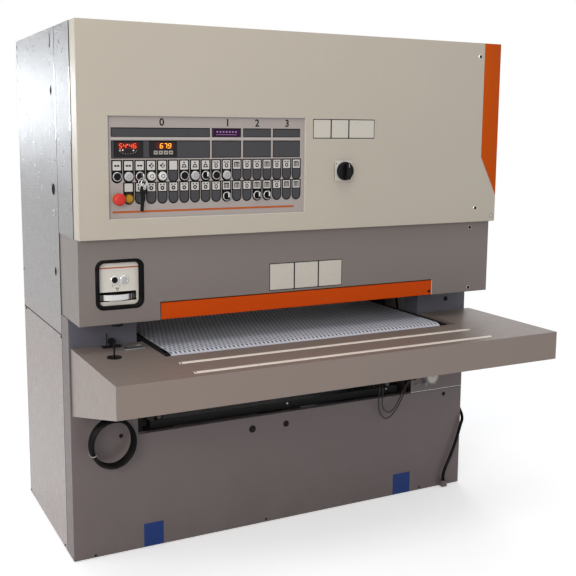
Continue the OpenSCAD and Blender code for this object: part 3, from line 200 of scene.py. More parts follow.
def powder(name, color, rough=0.42, peel=700, bump=0.22, coat=0.0, dirt=0.25, edge=0.003, spec=0.35, painted_light_zones=(),
           cloudy=1.0, peel_depth=0.0004, zone_x=(-2, -1)):
    """Powder-coated sheet: orange-peel bump, cloudy colour, painted highlights along folded edges, rubbed
    marks, dust near the floor.

    A zone (z0, z1, tone, share) paints light and shade by height: it tints towards height z1 where x is past
    zone_x.
    """
    m = Mat(name, color, rough, coat=coat, coat_rough=0.25, spec=spec)
    if edge:
        m.soft_edges(edge)
        ge = m.node("ShaderNodeNewGeometry")
        dot = m.node("ShaderNodeVectorMath", operation="DOT_PRODUCT")
        m.link(m.normal, dot.inputs[0])
        m.link(ge.outputs["Normal"], dot.inputs[1])
        fold_highlight = m.ramp(dot.outputs["Value"], 0.99, 0.85, 0.0, 0.7)
    cloud = m.noise(2.2, 3, 0.55)
    m.tint(m.ramp(cloud, 0.35, 0.75, 0.0, 0.5 * cloudy), shade(color, 0.93))
    speck = m.noise(peel, 2, 0.6)
    m.tint(m.ramp(speck, 0.42, 0.7, 0.0, 0.55), shade(color, 0.86))
    rub = m.noise(14, 6, 0.7, vec=m.coords((1, 1, 0.35)))
    m.tint(m.ramp(rub, 0.6, 0.78, 0.0, 0.35 * cloudy), shade(color, 1.12))
    if dirt:
        smut = m.math("MULTIPLY", m.z_fade(0.0, 0.35), m.ramp(m.noise(9, 5, 0.65), 0.35, 0.75))
        m.tint(m.math("MULTIPLY", smut, dirt), (0.10, 0.08, 0.065))
    # painted light and shade by height
    for z0, z1, tone, k in painted_light_zones:
        share = m.math("MULTIPLY", m.z_fade(z1, z0), k)
        m.tint(m.math("MULTIPLY", share, m.ramp(m.axis("X"), *zone_x)), tone)
    # painted highlight: folded edges are lightened where the bevel's normal turns from the face
    if edge:
        m.tint(fold_highlight, shade(color, 1.5))
    m.rough(m.noise(30, 4, 0.6), rough - 0.08, rough + 0.12)
    m.bump(m.noise(peel, 1.5, 0.5), bump, peel_depth)
    return m.done()


def plastic(name, color, rough=0.4, grain=2500, bump=0.12, coat=0.0, emit=None, glow=0.0, edge=0.0004,
            spec=0.25):
    """Moulded or printed plastic: fine grain, faint stains and rubbed spots; it may glow."""
    m = Mat(name, color, rough, coat=coat, coat_rough=0.1, spec=spec)
    if edge:
        m.soft_edges(edge)
    m.tint(m.ramp(m.noise(120, 4, 0.6), 0.4, 0.75, 0.0, 0.4), shade(color, 0.85))
    m.tint(m.ramp(m.noise(35, 6, 0.75), 0.62, 0.8, 0.0, 0.3), tuple(0.75 * c + 0.012 for c in color))
    m.rough(m.noise(200, 3), rough - 0.06, rough + 0.1)
    m.bump(m.noise(grain, 1), bump, 0.0002)
    if emit:
        m.b.inputs["Emission Color"].default_value = (*emit, 1)
        m.b.inputs["Emission Strength"].default_value = glow
    return m.done()


def flat(name, color, rough=0.4, **more):
    """A print, film or window without a rounded edge."""
    return plastic(name, color, rough, edge=0.0, **more)


def metal(name, color, rough=0.3, brush_axis=0, scale=1600, edge=0.0006, stain=0.35):
    """Brushed or ground metal: fine streaks along one axis, stains and rubbed spots."""
    m = Mat(name, color, rough, metal=1.0)
    if edge:
        m.soft_edges(edge)
    s = [scale, scale, scale]
    s[brush_axis] = scale * 0.02
    streak = m.noise(1, 3, 0.6, vec=m.coords(tuple(s)))
    m.tint(m.ramp(streak, 0.4, 0.7, 0.0, 0.5), shade(color, 0.82))
    m.tint(m.ramp(m.noise(25, 6, 0.7), 0.55, 0.8, 0.0, stain), shade(color, 0.6))
    m.rough(streak, rough - 0.08, rough + 0.14)
    m.bump(streak, 0.12, 0.0002)
    return m.done()


def rubber(name, color, rough=0.6, grain=900, bump=0.25):
    m = Mat(name, color, rough, spec=0.05)
    m.soft_edges(0.0006)
    m.tint(m.ramp(m.noise(40, 6, 0.7), 0.5, 0.8, 0.0, 0.5), shade(color, 2.2))
    m.tint(m.ramp(m.noise(6, 4, 0.6), 0.55, 0.8, 0.0, 0.3), (0.12, 0.105, 0.09))
    m.rough(m.noise(90, 3), rough - 0.1, rough + 0.12)
    m.bump(m.noise(grain, 2), bump, 0.0003)
    return m.done()


BEIGE = srgb(192, 183, 169)
GREY = srgb(128, 119, 115)
BASE = srgb(112, 101, 101)
SIDE = srgb(108, 103, 102)
SHELF = srgb(138, 124, 116)
ORANGE = srgb(206, 74, 6)
# painted shade: darker blue-grey of the throat under the shelf
THROAT_SHADE = srgb(92, 94, 106)

beige = powder("beige_paint", BEIGE, 0.40, 900, 0.14, coat=0.1, dirt=0.0)
grey = powder("grey_paint", GREY, 0.42, 800, 0.18, coat=0.05, dirt=0.0)
# painted light and shade on the side covers: lighter and warmer low down, darker and bluer high up
side_grey = powder("side_paint", SIDE, 0.28, 170, 0.9, coat=0.5, dirt=0.25, spec=0.5, peel_depth=0.0027,
                   painted_light_zones=((0.9, 0.7, srgb(122, 103, 96), 0.9), (1.0, 1.5, srgb(94, 97, 106), 0.6)))
# painted shade: the base panels turn darker and bluer near their top under the shelf, though not on the side
# flange
base_grey = powder("base_paint", BASE, 0.45, 800, 0.2, coat=0.05, dirt=0.35,
                   painted_light_zones=((0.62, 0.74, THROAT_SHADE, 0.8),), zone_x=(-0.8535, -0.8510))
shelf_grey = powder("shelf_paint", SHELF, 0.36, 900, 0.12, coat=0.12, dirt=0.0, cloudy=0.3)
frame_black = powder("frame_paint", (0.012, 0.011, 0.011), 0.5, 500, 0.25, dirt=0.0, spec=0.2)
motor_blue = powder("motor_paint", (0.035, 0.06, 0.10), 0.4, 500, 0.25, dirt=0.0)
orange_paint = powder("orange_paint", ORANGE, 0.42, 900, 0.12, dirt=0.0, spec=0.1)
orange_trim = powder("orange_trim", srgb(194, 78, 6), 0.42, 900, 0.10, dirt=0.0, edge=0.0, spec=0.1)
film = powder("panel_film", srgb(170, 160, 156), 0.38, 1500, 0.08, coat=0.1, dirt=0.0, edge=0.0005)
gauge_film = powder("gauge_film", srgb(224, 219, 210), 0.32, 1500, 0.08, coat=0.2, dirt=0.0, edge=0.0005)
field = flat("field_print", srgb(66, 65, 68), 0.36)
field_dark = flat("field_edge", srgb(12, 11, 12), 0.4, spec=0.1)
pale_line = flat("pale_print", srgb(186, 181, 178), 0.36)
icon_plate = flat("icon_plate", srgb(204, 199, 195), 0.34)
mark = flat("mark_print", srgb(16, 15, 16), 0.4, spec=0.1)
orange_line = flat("orange_print", srgb(180, 88, 30), 0.4)
violet_tag = flat("violet_tag", srgb(44, 10, 50), 0.4, spec=0.15)
violet_line = flat("violet_line", srgb(168, 128, 178), 0.4)
window_black = flat("display_window", (0.008, 0.005, 0.006), 0.16, bump=0.02)
glow_red = flat("glow_red", (0.9, 0.05, 0.02), 0.4, emit=(1.0, 0.07, 0.015), glow=1.5)
glow_halo = flat("glow_halo", (0.03, 0.002, 0.001), 0.3, emit=(1.0, 0.03, 0.005), glow=0.05)
glow_amber = flat("glow_amber", (0.9, 0.4, 0.05), 0.4, emit=(1.0, 0.36, 0.04), glow=1.6)
glow_white = flat("glow_white", (0.75, 0.75, 0.73), 0.4)
key_cap = flat("key_cap", srgb(168, 158, 146), 0.4)
black_plastic = plastic("black_plastic", (0.006, 0.006, 0.007), 0.34, 1800, 0.2, spec=0.12)
knob_black = plastic("knob_black", (0.006, 0.006, 0.006), 0.32, 700, 0.3, spec=0.14)
white_plastic = plastic("white_plastic", (0.50, 0.50, 0.50), 0.32)
cap_grey = flat("cap_grey", (0.34, 0.33, 0.33), 0.4)
lens_white = plastic("lens_white", (0.80, 0.79, 0.76), 0.22, coat=0.3)
red_plastic = plastic("red_plastic", srgb(204, 48, 38), 0.42, coat=0.1)
amber_plastic = plastic("amber_plastic", srgb(178, 132, 6), 0.28, coat=0.3)
amber_dark = plastic("amber_dark", srgb(116, 84, 4), 0.3)
grey_plastic = plastic("grey_plastic", (0.24, 0.24, 0.25), 0.45)
label_white = flat("label_white", srgb(206, 200, 190), 0.35)
label_edge = flat("label_edge", srgb(24, 22, 20), 0.4, spec=0.1)
label_blue = flat("label_blue", srgb(24, 54, 116), 0.38)
# black for real seams, and as painted shade behind slots and holes
black_for_seams_and_shade = flat("black_for_seams_and_shade", (0.006, 0.006, 0.006), 0.7, spec=0.05)
chrome = metal("chrome_ring", (0.72, 0.72, 0.73), 0.14, 1, 900, edge=0.0004, stain=0.15)
steel = metal("ground_steel", (0.50, 0.50, 0.50), 0.30, 0)
# very dark steel for the lift screws
dark_steel = metal("dark_steel", (0.07, 0.065, 0.06), 0.4, 2)
wheel_steel = metal("turned_wheel", (0.66, 0.66, 0.65), 0.22, 2)
key_steel = metal("key_metal", (0.60, 0.60, 0.58), 0.22, 2, 2500)
strip_steel = metal("strip_steel", (0.66, 0.67, 0.68), 0.30, 0)
roller_rubber = rubber("roller_rubber", (0.025, 0.025, 0.027), 0.55)
black_rubber = rubber("black_rubber", (0.006, 0.006, 0.006), 0.5)
hose_rubber = rubber("hose_rubber", (0.004, 0.004, 0.005), 0.34, 300, 0.15)
cable_grey = rubber("cable_grey", (0.05, 0.046, 0.042), 0.3)
tie_pale = plastic("tie_pale", (0.40, 0.38, 0.34), 0.4)
abrasive = rubber("abrasive_cloth", (0.20, 0.07, 0.025), 0.85, 1400, 0.8)


def pale_roller():
    """The shelf's pale idle rollers: a matte near-white base as painted reflection of the zinc's shine,
    streaks along the roller, stains and worn spots.
    """
    # painted reflection: zinc given as a pale matte colour instead of metal
    m = Mat("zinc_roller_painted_shine", srgb(244, 232, 220), 0.42)
    streak = m.noise(1, 3, 0.6, vec=m.coords((30, 1600, 1600)))
    m.tint(m.ramp(streak, 0.4, 0.7, 0.0, 0.5), srgb(206, 190, 178))
    m.tint(m.ramp(m.noise(25, 6, 0.7), 0.55, 0.8, 0.0, 0.4), srgb(176, 158, 146))
    m.rough(m.noise(60, 3), 0.28, 0.5)
    return m.done()


# Size of one cell of the conveyor belt's pattern, in m
CELL_X, CELL_Y = 0.0165, 0.027


def belt_material():
    """Conveyor belt: pale blue-grey rubber with staggered rows of long pits between raised ribs; the ribs get
    a painted highlight and the pits painted shade.
    """
    m = Mat("belt_rubber", srgb(200, 203, 214), 0.5, spec=0.35)
    cells = m.coords((1 / CELL_X, 1 / CELL_Y, 0))
    y = m.math("ADD", m.axis("Y", cells), 100.0)
    shift = m.math("MULTIPLY", m.math("MODULO", m.math("FLOOR", y), 2.0), 0.5)
    v = m.math("SUBTRACT", m.math("FRACT", y), 0.5)
    x = m.math("ADD", m.math("ADD", m.axis("X", cells), shift), 100.0)

    def spot(off, ru, rv):
        """1 at the middle of each cell's ellipse, which leans a little, and falling outwards."""
        along = m.math("ADD", m.math("SUBTRACT", x, off), m.math("MULTIPLY", v, 0.3))
        u = m.math("SUBTRACT", m.math("FRACT", along), 0.5)
        q = m.math("ADD", *(m.math("POWER", m.math("DIVIDE", m.math("ABSOLUTE", a), r), 2.0)
                            for a, r in ((u, ru), (v, rv))))
        return m.ramp(q, 0.55, 1.3, 1.0, 0.0)

    pit, rib = spot(0.0, 0.2, 0.26), spot(0.5, 0.2, 0.36)
    m.tint(m.ramp(m.noise(5, 4, 0.6), 0.4, 0.8, 0.0, 0.4), srgb(156, 160, 174))
    # painted highlight on the ribs, then painted shade in the pits
    m.tint(m.math("MULTIPLY", rib, 0.7), srgb(232, 234, 240))
    m.tint(m.math("MULTIPLY", pit, 0.94), srgb(40, 42, 52))
    m.tint(m.ramp(m.noise(400, 3, 0.7), 0.55, 0.75, 0.0, 0.35), srgb(214, 216, 222))
    m.rough(m.noise(80, 3), 0.42, 0.66)
    m.bump(m.math("SUBTRACT", m.math("MULTIPLY", rib, 0.5), pit), 0.6, 0.002)
    return m.done()


zinc = pale_roller()
conveyor_mat = belt_material()


def dress(node, mat):
    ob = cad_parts[node]
    ob = ob if hasattr(ob, "data") else bpy.data.objects[node]
    ob.data.materials.clear()
    ob.data.materials.append(mat)


# Mesh helpers
AXES = {"x": Vector((1, 0, 0)), "z": Vector((0, 0, 1)), "-y": Vector((0, -1, 0)), "-x": Vector((-1, 0, 0))}


def quads(n, rows, closed):
    """Faces between rows of n points; closed joins the last row to the first."""
    faces = []
    for i in range(rows if closed else rows - 1):
        for k in range(n):
            k2, i2 = (k + 1) % n, (i + 1) % rows
            faces.append((i * n + k, i * n + k2, i2 * n + k2, i2 * n + k))
    return faces


class Shape:
    """Collects faces in machine millimetres; each face keeps a material index."""

    def __init__(self):
        self.v, self.f, self.mi = [], [], []

    def add(self, pts, faces, mi=0):
        o = len(self.v)
        self.v += [tuple(p) for p in pts]
        self.f += [tuple(o + i for i in fc) for fc in faces]
        self.mi += [mi] * len(faces)

    def prism_y(self, outline, y0, y1, mi=0):
        """Outline in (x, z), anticlockwise seen from the front; y0 is the front."""
        n = len(outline)
        pts = [(x, y0, z) for x, z in outline] + [(x, y1, z) for x, z in outline]
        faces = [tuple(range(n)), tuple(reversed(range(n, 2 * n)))]
        faces += [((i + 1) % n, i, n + i, n + (i + 1) % n) for i in range(n)]
        self.add(pts, faces, mi)

    def prism_z(self, outline, z0, z1, mi=0):
        n = len(outline)
        pts = [(x, y, z0) for x, y in outline] + [(x, y, z1) for x, y in outline]
        faces = [tuple(reversed(range(n))), tuple(range(n, 2 * n))]
        faces += [(i, (i + 1) % n, n + (i + 1) % n, n + i) for i in range(n)]
        self.add(pts, faces, mi)

    def box(self, x0, y0, z0, x1, y1, z1, mi=0):
        pts = [(x, y, z) for x in (x0, x1) for y in (y0, y1) for z in (z0, z1)]
        sides = [(0, 1, 3, 2), (4, 6, 7, 5), (0, 4, 5, 1), (2, 3, 7, 6), (0, 2, 6, 4), (1, 5, 7, 3)]
        self.add(pts, sides, mi)

    def lathe(self, profile, centre, axis, n=32, mi=0, ring=False):
        """Turns (radius, distance) points round an axis through centre; all but a ring have two ends."""
        ax = AXES[axis]
        a = Vector((1, 0, 0)) if ring else ax.orthogonal().normalized()
        b = ax.cross(a)
        turns = [2 * math.pi * k / n for k in range(n)]
        pts = [Vector(centre) + ax * d + (a * math.cos(t) + b * math.sin(t)) * r
               for r, d in profile for t in turns]
        rows = len(profile)
        faces = quads(n, rows, ring)
        if not ring:
            faces += [tuple(reversed(range(n))), tuple(range((rows - 1) * n, rows * n))]
        self.add(pts, faces, mi)

    def bezel(self, x, z, y, r_in, r_out, h, mi=0, n=40):
        """A turned ring with a rounded crown round a control."""
        profile = [(r_in, 0), (r_out, 0), (r_out, h * 0.55), (r_out - 0.7, h * 0.9), (r_out - 1.5, h),
                   (r_in + 0.5, h), (r_in, h * 0.8)]
        self.lathe(profile, (x, y, z), "-y", n, mi, ring=True)

    def ring_band(self, outer, inner, y_out, y_in, crown):
        """A frame between two outlines with the same count; its face is crowned outwards."""
        rows = ((0, y_in), (0, y_out), (0.25, y_out - crown * 0.8), (0.5, y_out - crown),
                (0.75, y_out - crown * 0.8), (1, y_out), (1, y_in))
        pts = [(a[0] + (b[0] - a[0]) * k, y, a[1] + (b[1] - a[1]) * k)
               for k, y in rows for a, b in zip(outer, inner)]
        self.add(pts, quads(len(outer), len(rows), True))

    def build(self, name, mats, body, smooth=35, bevel=0.0, segments=2, slot=None):
        me = bpy.data.meshes.new(name)
        me.from_pydata([place(*p) for p in self.v], [], self.f)
        for m in mats:
            me.materials.append(m)
        for p, i in zip(me.polygons, self.mi):
            p.material_index = i
        bm = bmesh.new()
        bm.from_mesh(me)
        bmesh.ops.recalc_face_normals(bm, faces=bm.faces)
        if bevel:
            sharp = math.radians(35)
            edges = [e for e in bm.edges if len(e.link_faces) == 2 and e.calc_face_angle(0) > sharp]
            bmesh.ops.bevel(bm, geom=edges, offset=bevel / 1000, segments=segments, profile=0.5,
                            affect="EDGES", clamp_overlap=True)
        bm.to_mesh(me)
        bm.free()
        me.shade_smooth()
        me.set_sharp_from_angle(angle=math.radians(smooth))
        ob = add_object(name, me)
        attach(ob, body)


def plate(name, outline, y0, y1, mats, body, **more):
    """A piece of one outline in x and z."""
    s = Shape()
    s.prism_y(outline, y0, y1)
    s.build(name, mats, body, **more)


def turned(name, profile, centre, axis, n, mats, body, **more):
    """A piece of one turned profile."""
    s = Shape()
    s.lathe(profile, centre, axis, n)
    s.build(name, mats, body, **more)


def ringed(name, x, z, y, r_in, r_out, h, mat, body, n=40):
    """A piece of one bezel."""
    s = Shape()
    s.bezel(x, z, y, r_in, r_out, h, n=n)
    s.build(name, [mat], body)


def rect(x0, z0, x1, z1):
    return [(x0, z0), (x1, z0), (x1, z1), (x0, z1)]


def soft(x0, z0, x1, z1, r, n=6):
    pts = []
    for cx, cz, a0 in ((x1 - r, z0 + r, -90), (x1 - r, z1 - r, 0), (x0 + r, z1 - r, 90),
                       (x0 + r, z0 + r, 180)):
        for i in range(n + 1):
            t = math.radians(a0 + 90 * i / n)
            pts.append((cx + r * math.cos(t), cz + r * math.sin(t)))
    return pts


def disc(cx, cz, r, n=24):
    turns = [2 * math.pi * i / n for i in range(n)]
    return [(cx + r * math.cos(t), cz + r * math.sin(t)) for t in turns]


def tomb(x0, x1, z0, z1, n=14):
    """A field with a round lower end."""
    r = (x1 - x0) / 2
    cx = (x0 + x1) / 2
    arc = [(cx + r * math.cos(math.pi + math.pi * i / n), z0 + r + r * math.sin(math.pi + math.pi * i / n))
           for i in range(n + 1)]
    return arc + [(x1, z1), (x0, z1)]


def number_mesh(text, x, z, size, y, t, shape, mi):
    """Plain numbers from Blender's own font as flat prisms in the xz plane."""
    cu = bpy.data.curves.new("number", "FONT")
    cu.body = text
    cu.size = size
    cu.offset = size * 0.02
    cu.align_x = cu.align_y = "CENTER"
    cu.resolution_u = 4
    cu.extrude = t / 2
    ob = add_object("number", cu)
    dg = bpy.context.evaluated_depsgraph_get()
    me = bpy.data.meshes.new_from_object(ob.evaluated_get(dg))
    shape.add([(x + v.co.x, y - v.co.z, z + v.co.y) for v in me.vertices],
              [tuple(p.vertices) for p in me.polygons], mi)
    bpy.data.objects.remove(ob)
    bpy.data.curves.remove(cu)
    bpy.data.meshes.remove(me)


SEG = {"0": "abcdef", "1": "bc", "2": "abged", "3": "abgcd", "4": "fgbc", "5": "afgcd", "6": "afgedc",
       "7": "abc", "8": "abcdefg", "9": "abcdfg"}
BARS = {"a": ((0.15, 1), (0.85, 1)), "b": ((1, 0.9), (1, 0.56)), "c": ((1, 0.44), (1, 0.1)),
        "d": ((0.15, 0), (0.85, 0)), "e": ((0, 0.44), (0, 0.1)), "f": ((0, 0.9), (0, 0.56)),
        "g": ((0.15, 0.5), (0.85, 0.5))}
SLANT = 0.12


def segments(text, x, z, w, h, y, shape, mi):
    """Slanted seven-segment digits; z is the lower edge."""
    gap = 5.0
    t = w * 0.2
    for ch in text:
        if ch == ".":
            shape.prism_y(disc(x - gap * 0.45, z, t * 0.6, 8), y, y + 0.3, mi)
            continue
        for bar in SEG[ch]:
            p, q = (Vector((x + a * w + b * h * SLANT, z + b * h)) for a, b in BARS[bar])
            e = (q - p).normalized() * t / 2
            n = (q - p).normalized().orthogonal() * t / 2
            shape.prism_y([tuple(c) for c in (p - e, p - n, q - n, q + e, q + n, p + n)], y, y + 0.3, mi)
        x += w + gap
    return x


def cord(name, points, radius, mat, node):
    """A round cord along machine points, in place of the CAD's own."""
    cu = bpy.data.curves.new(name, "CURVE")
    cu.dimensions = "3D"
    cu.bevel_depth = radius / 1000
    cu.bevel_resolution = 4
    cu.use_fill_caps = True
    sp = cu.splines.new("POLY")
    sp.points.add(len(points) - 1)
    for p, q in zip(sp.points, points):
        p.co = (*place(*q), 1)
    cu.materials.append(mat)
    ob = add_object(name, cu)
    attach(ob, "machine")
    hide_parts(node)


def spline(p, steps):
    """The source's own smooth line through listed points."""
    out = []
    for i in range(len(p) - 1):
        a, b, c, d = (Vector(p[j]) for j in (max(i - 1, 0), i, i + 1, min(i + 2, len(p) - 1)))
        for s in range(steps):
            t = s / steps
            bend, twist = 2 * a - 5 * b + 4 * c - d, 3 * b - a - 3 * c + d
            out.append(0.5 * ((2 * b) + (c - a) * t + bend * t * t + twist * t ** 3))
    out.append(Vector(p[-1]))
    return out


# Cords: the hose's coil is the source's three turns of a slightly flattened circle that move outwards
COIL_X, COIL_Y, COIL_Z = 133, -26, 434
COIL_R, COIL_FLAT, COIL_PITCH = 84, 0.92, 15
COIL_TURNS, COIL_STEPS = 3, 24


def coil_at(angle):
    return COIL_X + COIL_R * COIL_FLAT * math.sin(angle), COIL_Z + COIL_R * math.cos(angle)


hose_in = [(70, -26, 575), (70, -26, 562), (74, -26, 548), (84, -26, 535), (98, -26, 526), (114, -26, 520)]
coil = []
for i in range(COIL_TURNS * COIL_STEPS + 1):
    x, z = coil_at(2 * math.pi * i / COIL_STEPS)
    coil.append((x, COIL_Y - COIL_PITCH * i / COIL_STEPS, z))
hose_out = [(155, -71, 518), (172, -69, 525), (186, -65, 538), (194, -61, 552), (196, -60, 563),
            (196, -60, 575)]
cord("hose", spline(hose_in + coil + hose_out, 3), 6.5, hose_rubber, "hose_coil")

LEAD_AT = Vector((1424, 0, 433))
lead_outer = [(-161, 62, 28), (-161, 62, 42), (-161, 52, 58), (-161, 28, 68), (-161, 0, 66), (-165, -16, 48),
              (-172, -22, 14), (-174, -22, -18), (-168, -22, -50), (-144, -22, -81), (-114, -22, -77),
              (-82, -22, -44), (-54, -22, 4), (-36, -22, 42), (-18, -21, 64), (0, -20, 72), (11, -16, 73),
              (14, -10, 73), (14, -5, 73), (14, -0.3, 73)]
lead_inner = [(-145, 62, 28), (-145, 62, 42), (-145, 52, 56), (-145, 28, 64), (-146, 0, 62), (-150, -16, 44),
              (-155, -22, 10), (-156, -22, -18), (-148, -22, -42), (-124, -22, -59), (-100, -22, -48),
              (-80, -22, -22), (-58, -22, 18), (-44, -22, 44), (-26, -20, 60), (-4, -20, 62), (10, -16, 61),
              (14, -10, 61), (14, -5, 61), (14, -0.3, 61)]
for name, route in (("lead_outer", lead_outer), ("lead_inner", lead_inner)):
    cord(name, [p + LEAD_AT for p in spline(route, 5)], 2.4, cable_grey, "sensor_cable")

SUPPLY_AT = Vector((1686, 0, 0))
supply_route = [(11, 40, 377.7), (11, 40, 368), (11, 40, 358), (11, 32, 338), (11.5, 18, 322), (9.5, 2, 306),
                (2, -12.5, 288), (-10, -16.5, 262), (-22, -16, 222), (-40, -16, 172), (-62, -16, 124),
                (-84, -16, 80), (-92, -16, 54), (-92, -16, 42), (-92, -16, 30.3)]
cord("supply", [p + SUPPLY_AT for p in spline(supply_route, 6)], 6.5, hose_rubber, "supply_cable")

# CAD nodes
FINISH = (
    (frame_black, "base_frame upper_frame sanding_units lift_gear conveyor_bed"),
    (black_rubber, "levelling_feet drive_belts"),
    (base_grey, "base_front_panel base_rear_panel"),
    (side_grey, "base_side_covers upper_right_cover front_cabinet side_door"),
    (grey, "roof_panel upper_rear_cover mid_panel"),
    (grey_plastic, "electrics air_regulator"),
    (steel, "motor_pulley tension_roller_1 tension_roller_2 drive_roller return_roller"),
    (roller_rubber, "contact_roller_1 contact_roller_2"),
    (zinc, "infeed_roller_1 infeed_roller_2"),
    (black_plastic, "gauge_post gauge_foot gauge_button_1 push_button_1 push_button_5 push_button_7 "
                    "selector_1 selector_2 selector_3 selector_4"),
    (white_plastic, "gauge_button_2 push_button_2 push_button_6 push_button_8"),
    (lens_white, "push_button_3 push_button_4"),
    (gauge_film, "gauge_plate"), (motor_blue, "main_motor"), (abrasive, "abrasive_belts"),
    (dark_steel, "lift_screws"), (beige, "cabinet_door"), (film, "control_panel"),
    (conveyor_mat, "conveyor_belt"), (shelf_grey, "infeed_shelf"), (orange_paint, "safety_bar"),
    (wheel_steel, "gauge_wheel"), (knob_black, "isolator_knob"), (red_plastic, "e_stop"),
    (amber_plastic, "amber_button"), (key_steel, "key_switch"))
for material, names in FINISH:
    for name in names.split():
        dress(name, material)

# Control panel: the door's face, the plate's face, the columns and the two rows of controls
DOOR = -169.3
PLATE = DOOR + 6
COLUMN = [129.9 + 38.47 * i for i in range(18)]
ROW_1, ROW_2 = 1361.0, 1289.0
# Indices of the panel print's materials
F, FD, PL, IC, MK, OL, VT, VL = range(8)


def glyph(kind, x, z):
    """Plain pictograms of the control fields: outlines in dark print with lighter inner shapes."""
    if kind == "dash":
        return [(MK, rect(x + a, z - 2.8, x + a + 7.7, z + 2.8)) for a in (-8.5, 0.8)]
    if kind == "arrow":
        return [(MK, [(x - 1, z - 6), (x - 1, z + 6), (x - 9, z)]), (MK, rect(x + 0.6, z + 2, x + 4, z + 9)),
                (MK, rect(x + 0.6, z - 9, x + 4, z - 4)),
                (MK, [(x + 5, z - 5), (x + 10.5, z - 0.5), (x + 5, z + 4)])]
    if kind == "trap":
        return [(MK, [(x - 9, z - 8), (x + 9, z - 8), (x + 4.4, z + 3.6), (x - 4.4, z + 3.6)]),
                (IC, [(x - 4.4, z - 5), (x + 4.4, z - 5), (x + 2, z + 0.4), (x - 2, z + 0.4)]),
                (MK, disc(x, z + 8.6, 2.9, 8))]
    if kind == "gear":
        return [(MK, disc(x, z - 3, 7, 12)), (IC, disc(x, z - 3, 2.8, 10))] + [
            (MK, disc(x + a, z + 8, 2.6, 8)) for a in (-5.5, 5.5)]
    if kind == "roll":
        return [(MK, soft(x - 6, z - 10, x + 6, z + 5, 5.9, 4)),
                (IC, soft(x - 2.6, z - 6.4, x + 2.6, z + 1.6, 2.5, 3))] + [
            (MK, rect(x + a, z + 7, x + a + 7, z + 10.4)) for a in (-9, 2)]
    return [(MK, rect(x - 9.5, z + 6, x + 9.5, z + 9.4))] + [
        (MK, rect(x + k * 5.4 - 1.5, z - 9, x + k * 5.4 + 1.5, z + 6)) for k in (-1.5, -0.5, 0.5, 1.5)]


# The controls' fields, row by row: the icon's edges, the field's lower edge, the columns whose control covers
# the field, those without a field, those without an icon, and the icons
ROWS = (
    (1380, 1411, ROW_1 - 17.5, (0, 1, 2, 3, 4, 6, 7, 8, 9, 10), (), (5,),
     ["dash"] * 3 + ["arrow"] * 3 + ["trap"] * 3 + ["roll", "roll", "comb"] * 3),
    (1311, 1339, ROW_2 - 15.5, (1, 10, 13, 14), (0,), (1,), ["gear"] * 9 + ["roll", "comb", "comb"] * 3))
sh = Shape()
for a, b in ((112, 454), (461, 569), (577, 683), (691, 798)):
    for z0, z1, z2, z3 in ((1488, 1490, 1515, 1518), (1419, 1421.5, 1474, 1477)):
        sh.prism_y(rect(a, z0, b, z3), PLATE - 0.25, PLATE, FD)
        sh.prism_y(rect(a + 2.5, z1, b - 2.5, z2), PLATE - 0.35, PLATE, F)
sh.prism_y(rect(466, 1490, 565, 1515), PLATE - 0.6, PLATE, VT)
for i in range(7):
    sh.prism_y(rect(478 + i * 11.4, 1503, 484 + i * 11.4, 1508), PLATE - 0.75, PLATE, VL)
sh.prism_y(rect(476, 1495.5, 553, 1497), PLATE - 0.75, PLATE, VL)
sh.prism_y(rect(110, 1480.5, 800, 1484.5), PLATE - 0.2, PLATE, PL)
sh.prism_y(rect(113, 1243, 775, 1249.5), PLATE - 0.3, PLATE, OL)
for c, x in enumerate(COLUMN):
    for z0, z1, low, covered, bare, plain, icons in ROWS:
        if c in bare:
            continue
        sh.prism_y(tomb(x - 18.2, x + 18.2, low - 4, z1 + 3.5), PLATE - 0.25, PLATE, FD)
        if c not in covered:
            sh.prism_y(tomb(x - 14.4, x + 14.4, low, z0 - 2), PLATE - 0.35, PLATE, F)
        sh.prism_y(soft(x - 13.6, z0 + 1, x + 13.6, z1 - 0.5, 1.2, 2), PLATE - 0.5, PLATE, IC)
        if c in plain:
            continue
        for colour, outline in glyph(icons[c], x, (z0 + z1) / 2):
            sh.prism_y(outline, PLATE - (0.62 if colour == MK else 0.72), PLATE, colour)
for digit, x in (("0", 284), ("1", 519), ("2", 630), ("3", 746)):
    number_mesh(digit, x, 1535, 34, PLATE - 0.2, 0.4, sh, MK)
sh.build("panel_print", [field, field_dark, pale_line, icon_plate, mark, orange_line, violet_tag, violet_line,
                         window_black], "door", slot="panel_film")
sh = Shape()
# painted shade and highlight round the panel's recess: dark grey strips on the left and top walls, pale strips
# on the right and bottom
for x0, z0, x1, z1, tone in ((101, 1223, 103, 1555, 0), (101, 1553, 817, 1555, 0), (815, 1223, 817, 1553, 1),
                             (103, 1223, 815, 1225, 1)):
    sh.prism_y(rect(x0, z0, x1, z1), DOOR + 0.2, PLATE, tone)
sh.build("recess_shade_and_highlight", [grey_plastic, label_white], "door")

# Displays
sh = Shape()
TONES = [window_black, glow_halo, glow_red, glow_amber, glow_white, grey_plastic, black_plastic, key_cap]
for a, b in ((121, 219), (240, 335)):
    sh.prism_y(soft(a, 1424, b, 1474, 2, 3), PLATE - 2.2, PLATE, 6)
    sh.prism_y(soft(a + 1.5, 1425.5, b - 1.5, 1472.5, 1.5, 3), PLATE - 2.6, PLATE - 2, 0)
sh.prism_y(rect(134, 1449, 203, 1469.5), PLATE - 2.7, PLATE - 2, 1)
segments("54", 138, 1452, 8.6, 14, PLATE - 3.0, sh, 2)
segments("46", 171.5, 1452, 8.6, 14, PLATE - 3.0, sh, 2)
sh.prism_y(rect(165.5, 1461, 167.6, 1465), PLATE - 3.0, PLATE - 2, 4)
for px, pz, r in ((141, 1445, 2.2), (150, 1446, 2.8), (186, 1444.5, 2.6)):
    sh.prism_y(disc(px, pz, r, 10), PLATE - 3.0, PLATE - 2, 4)
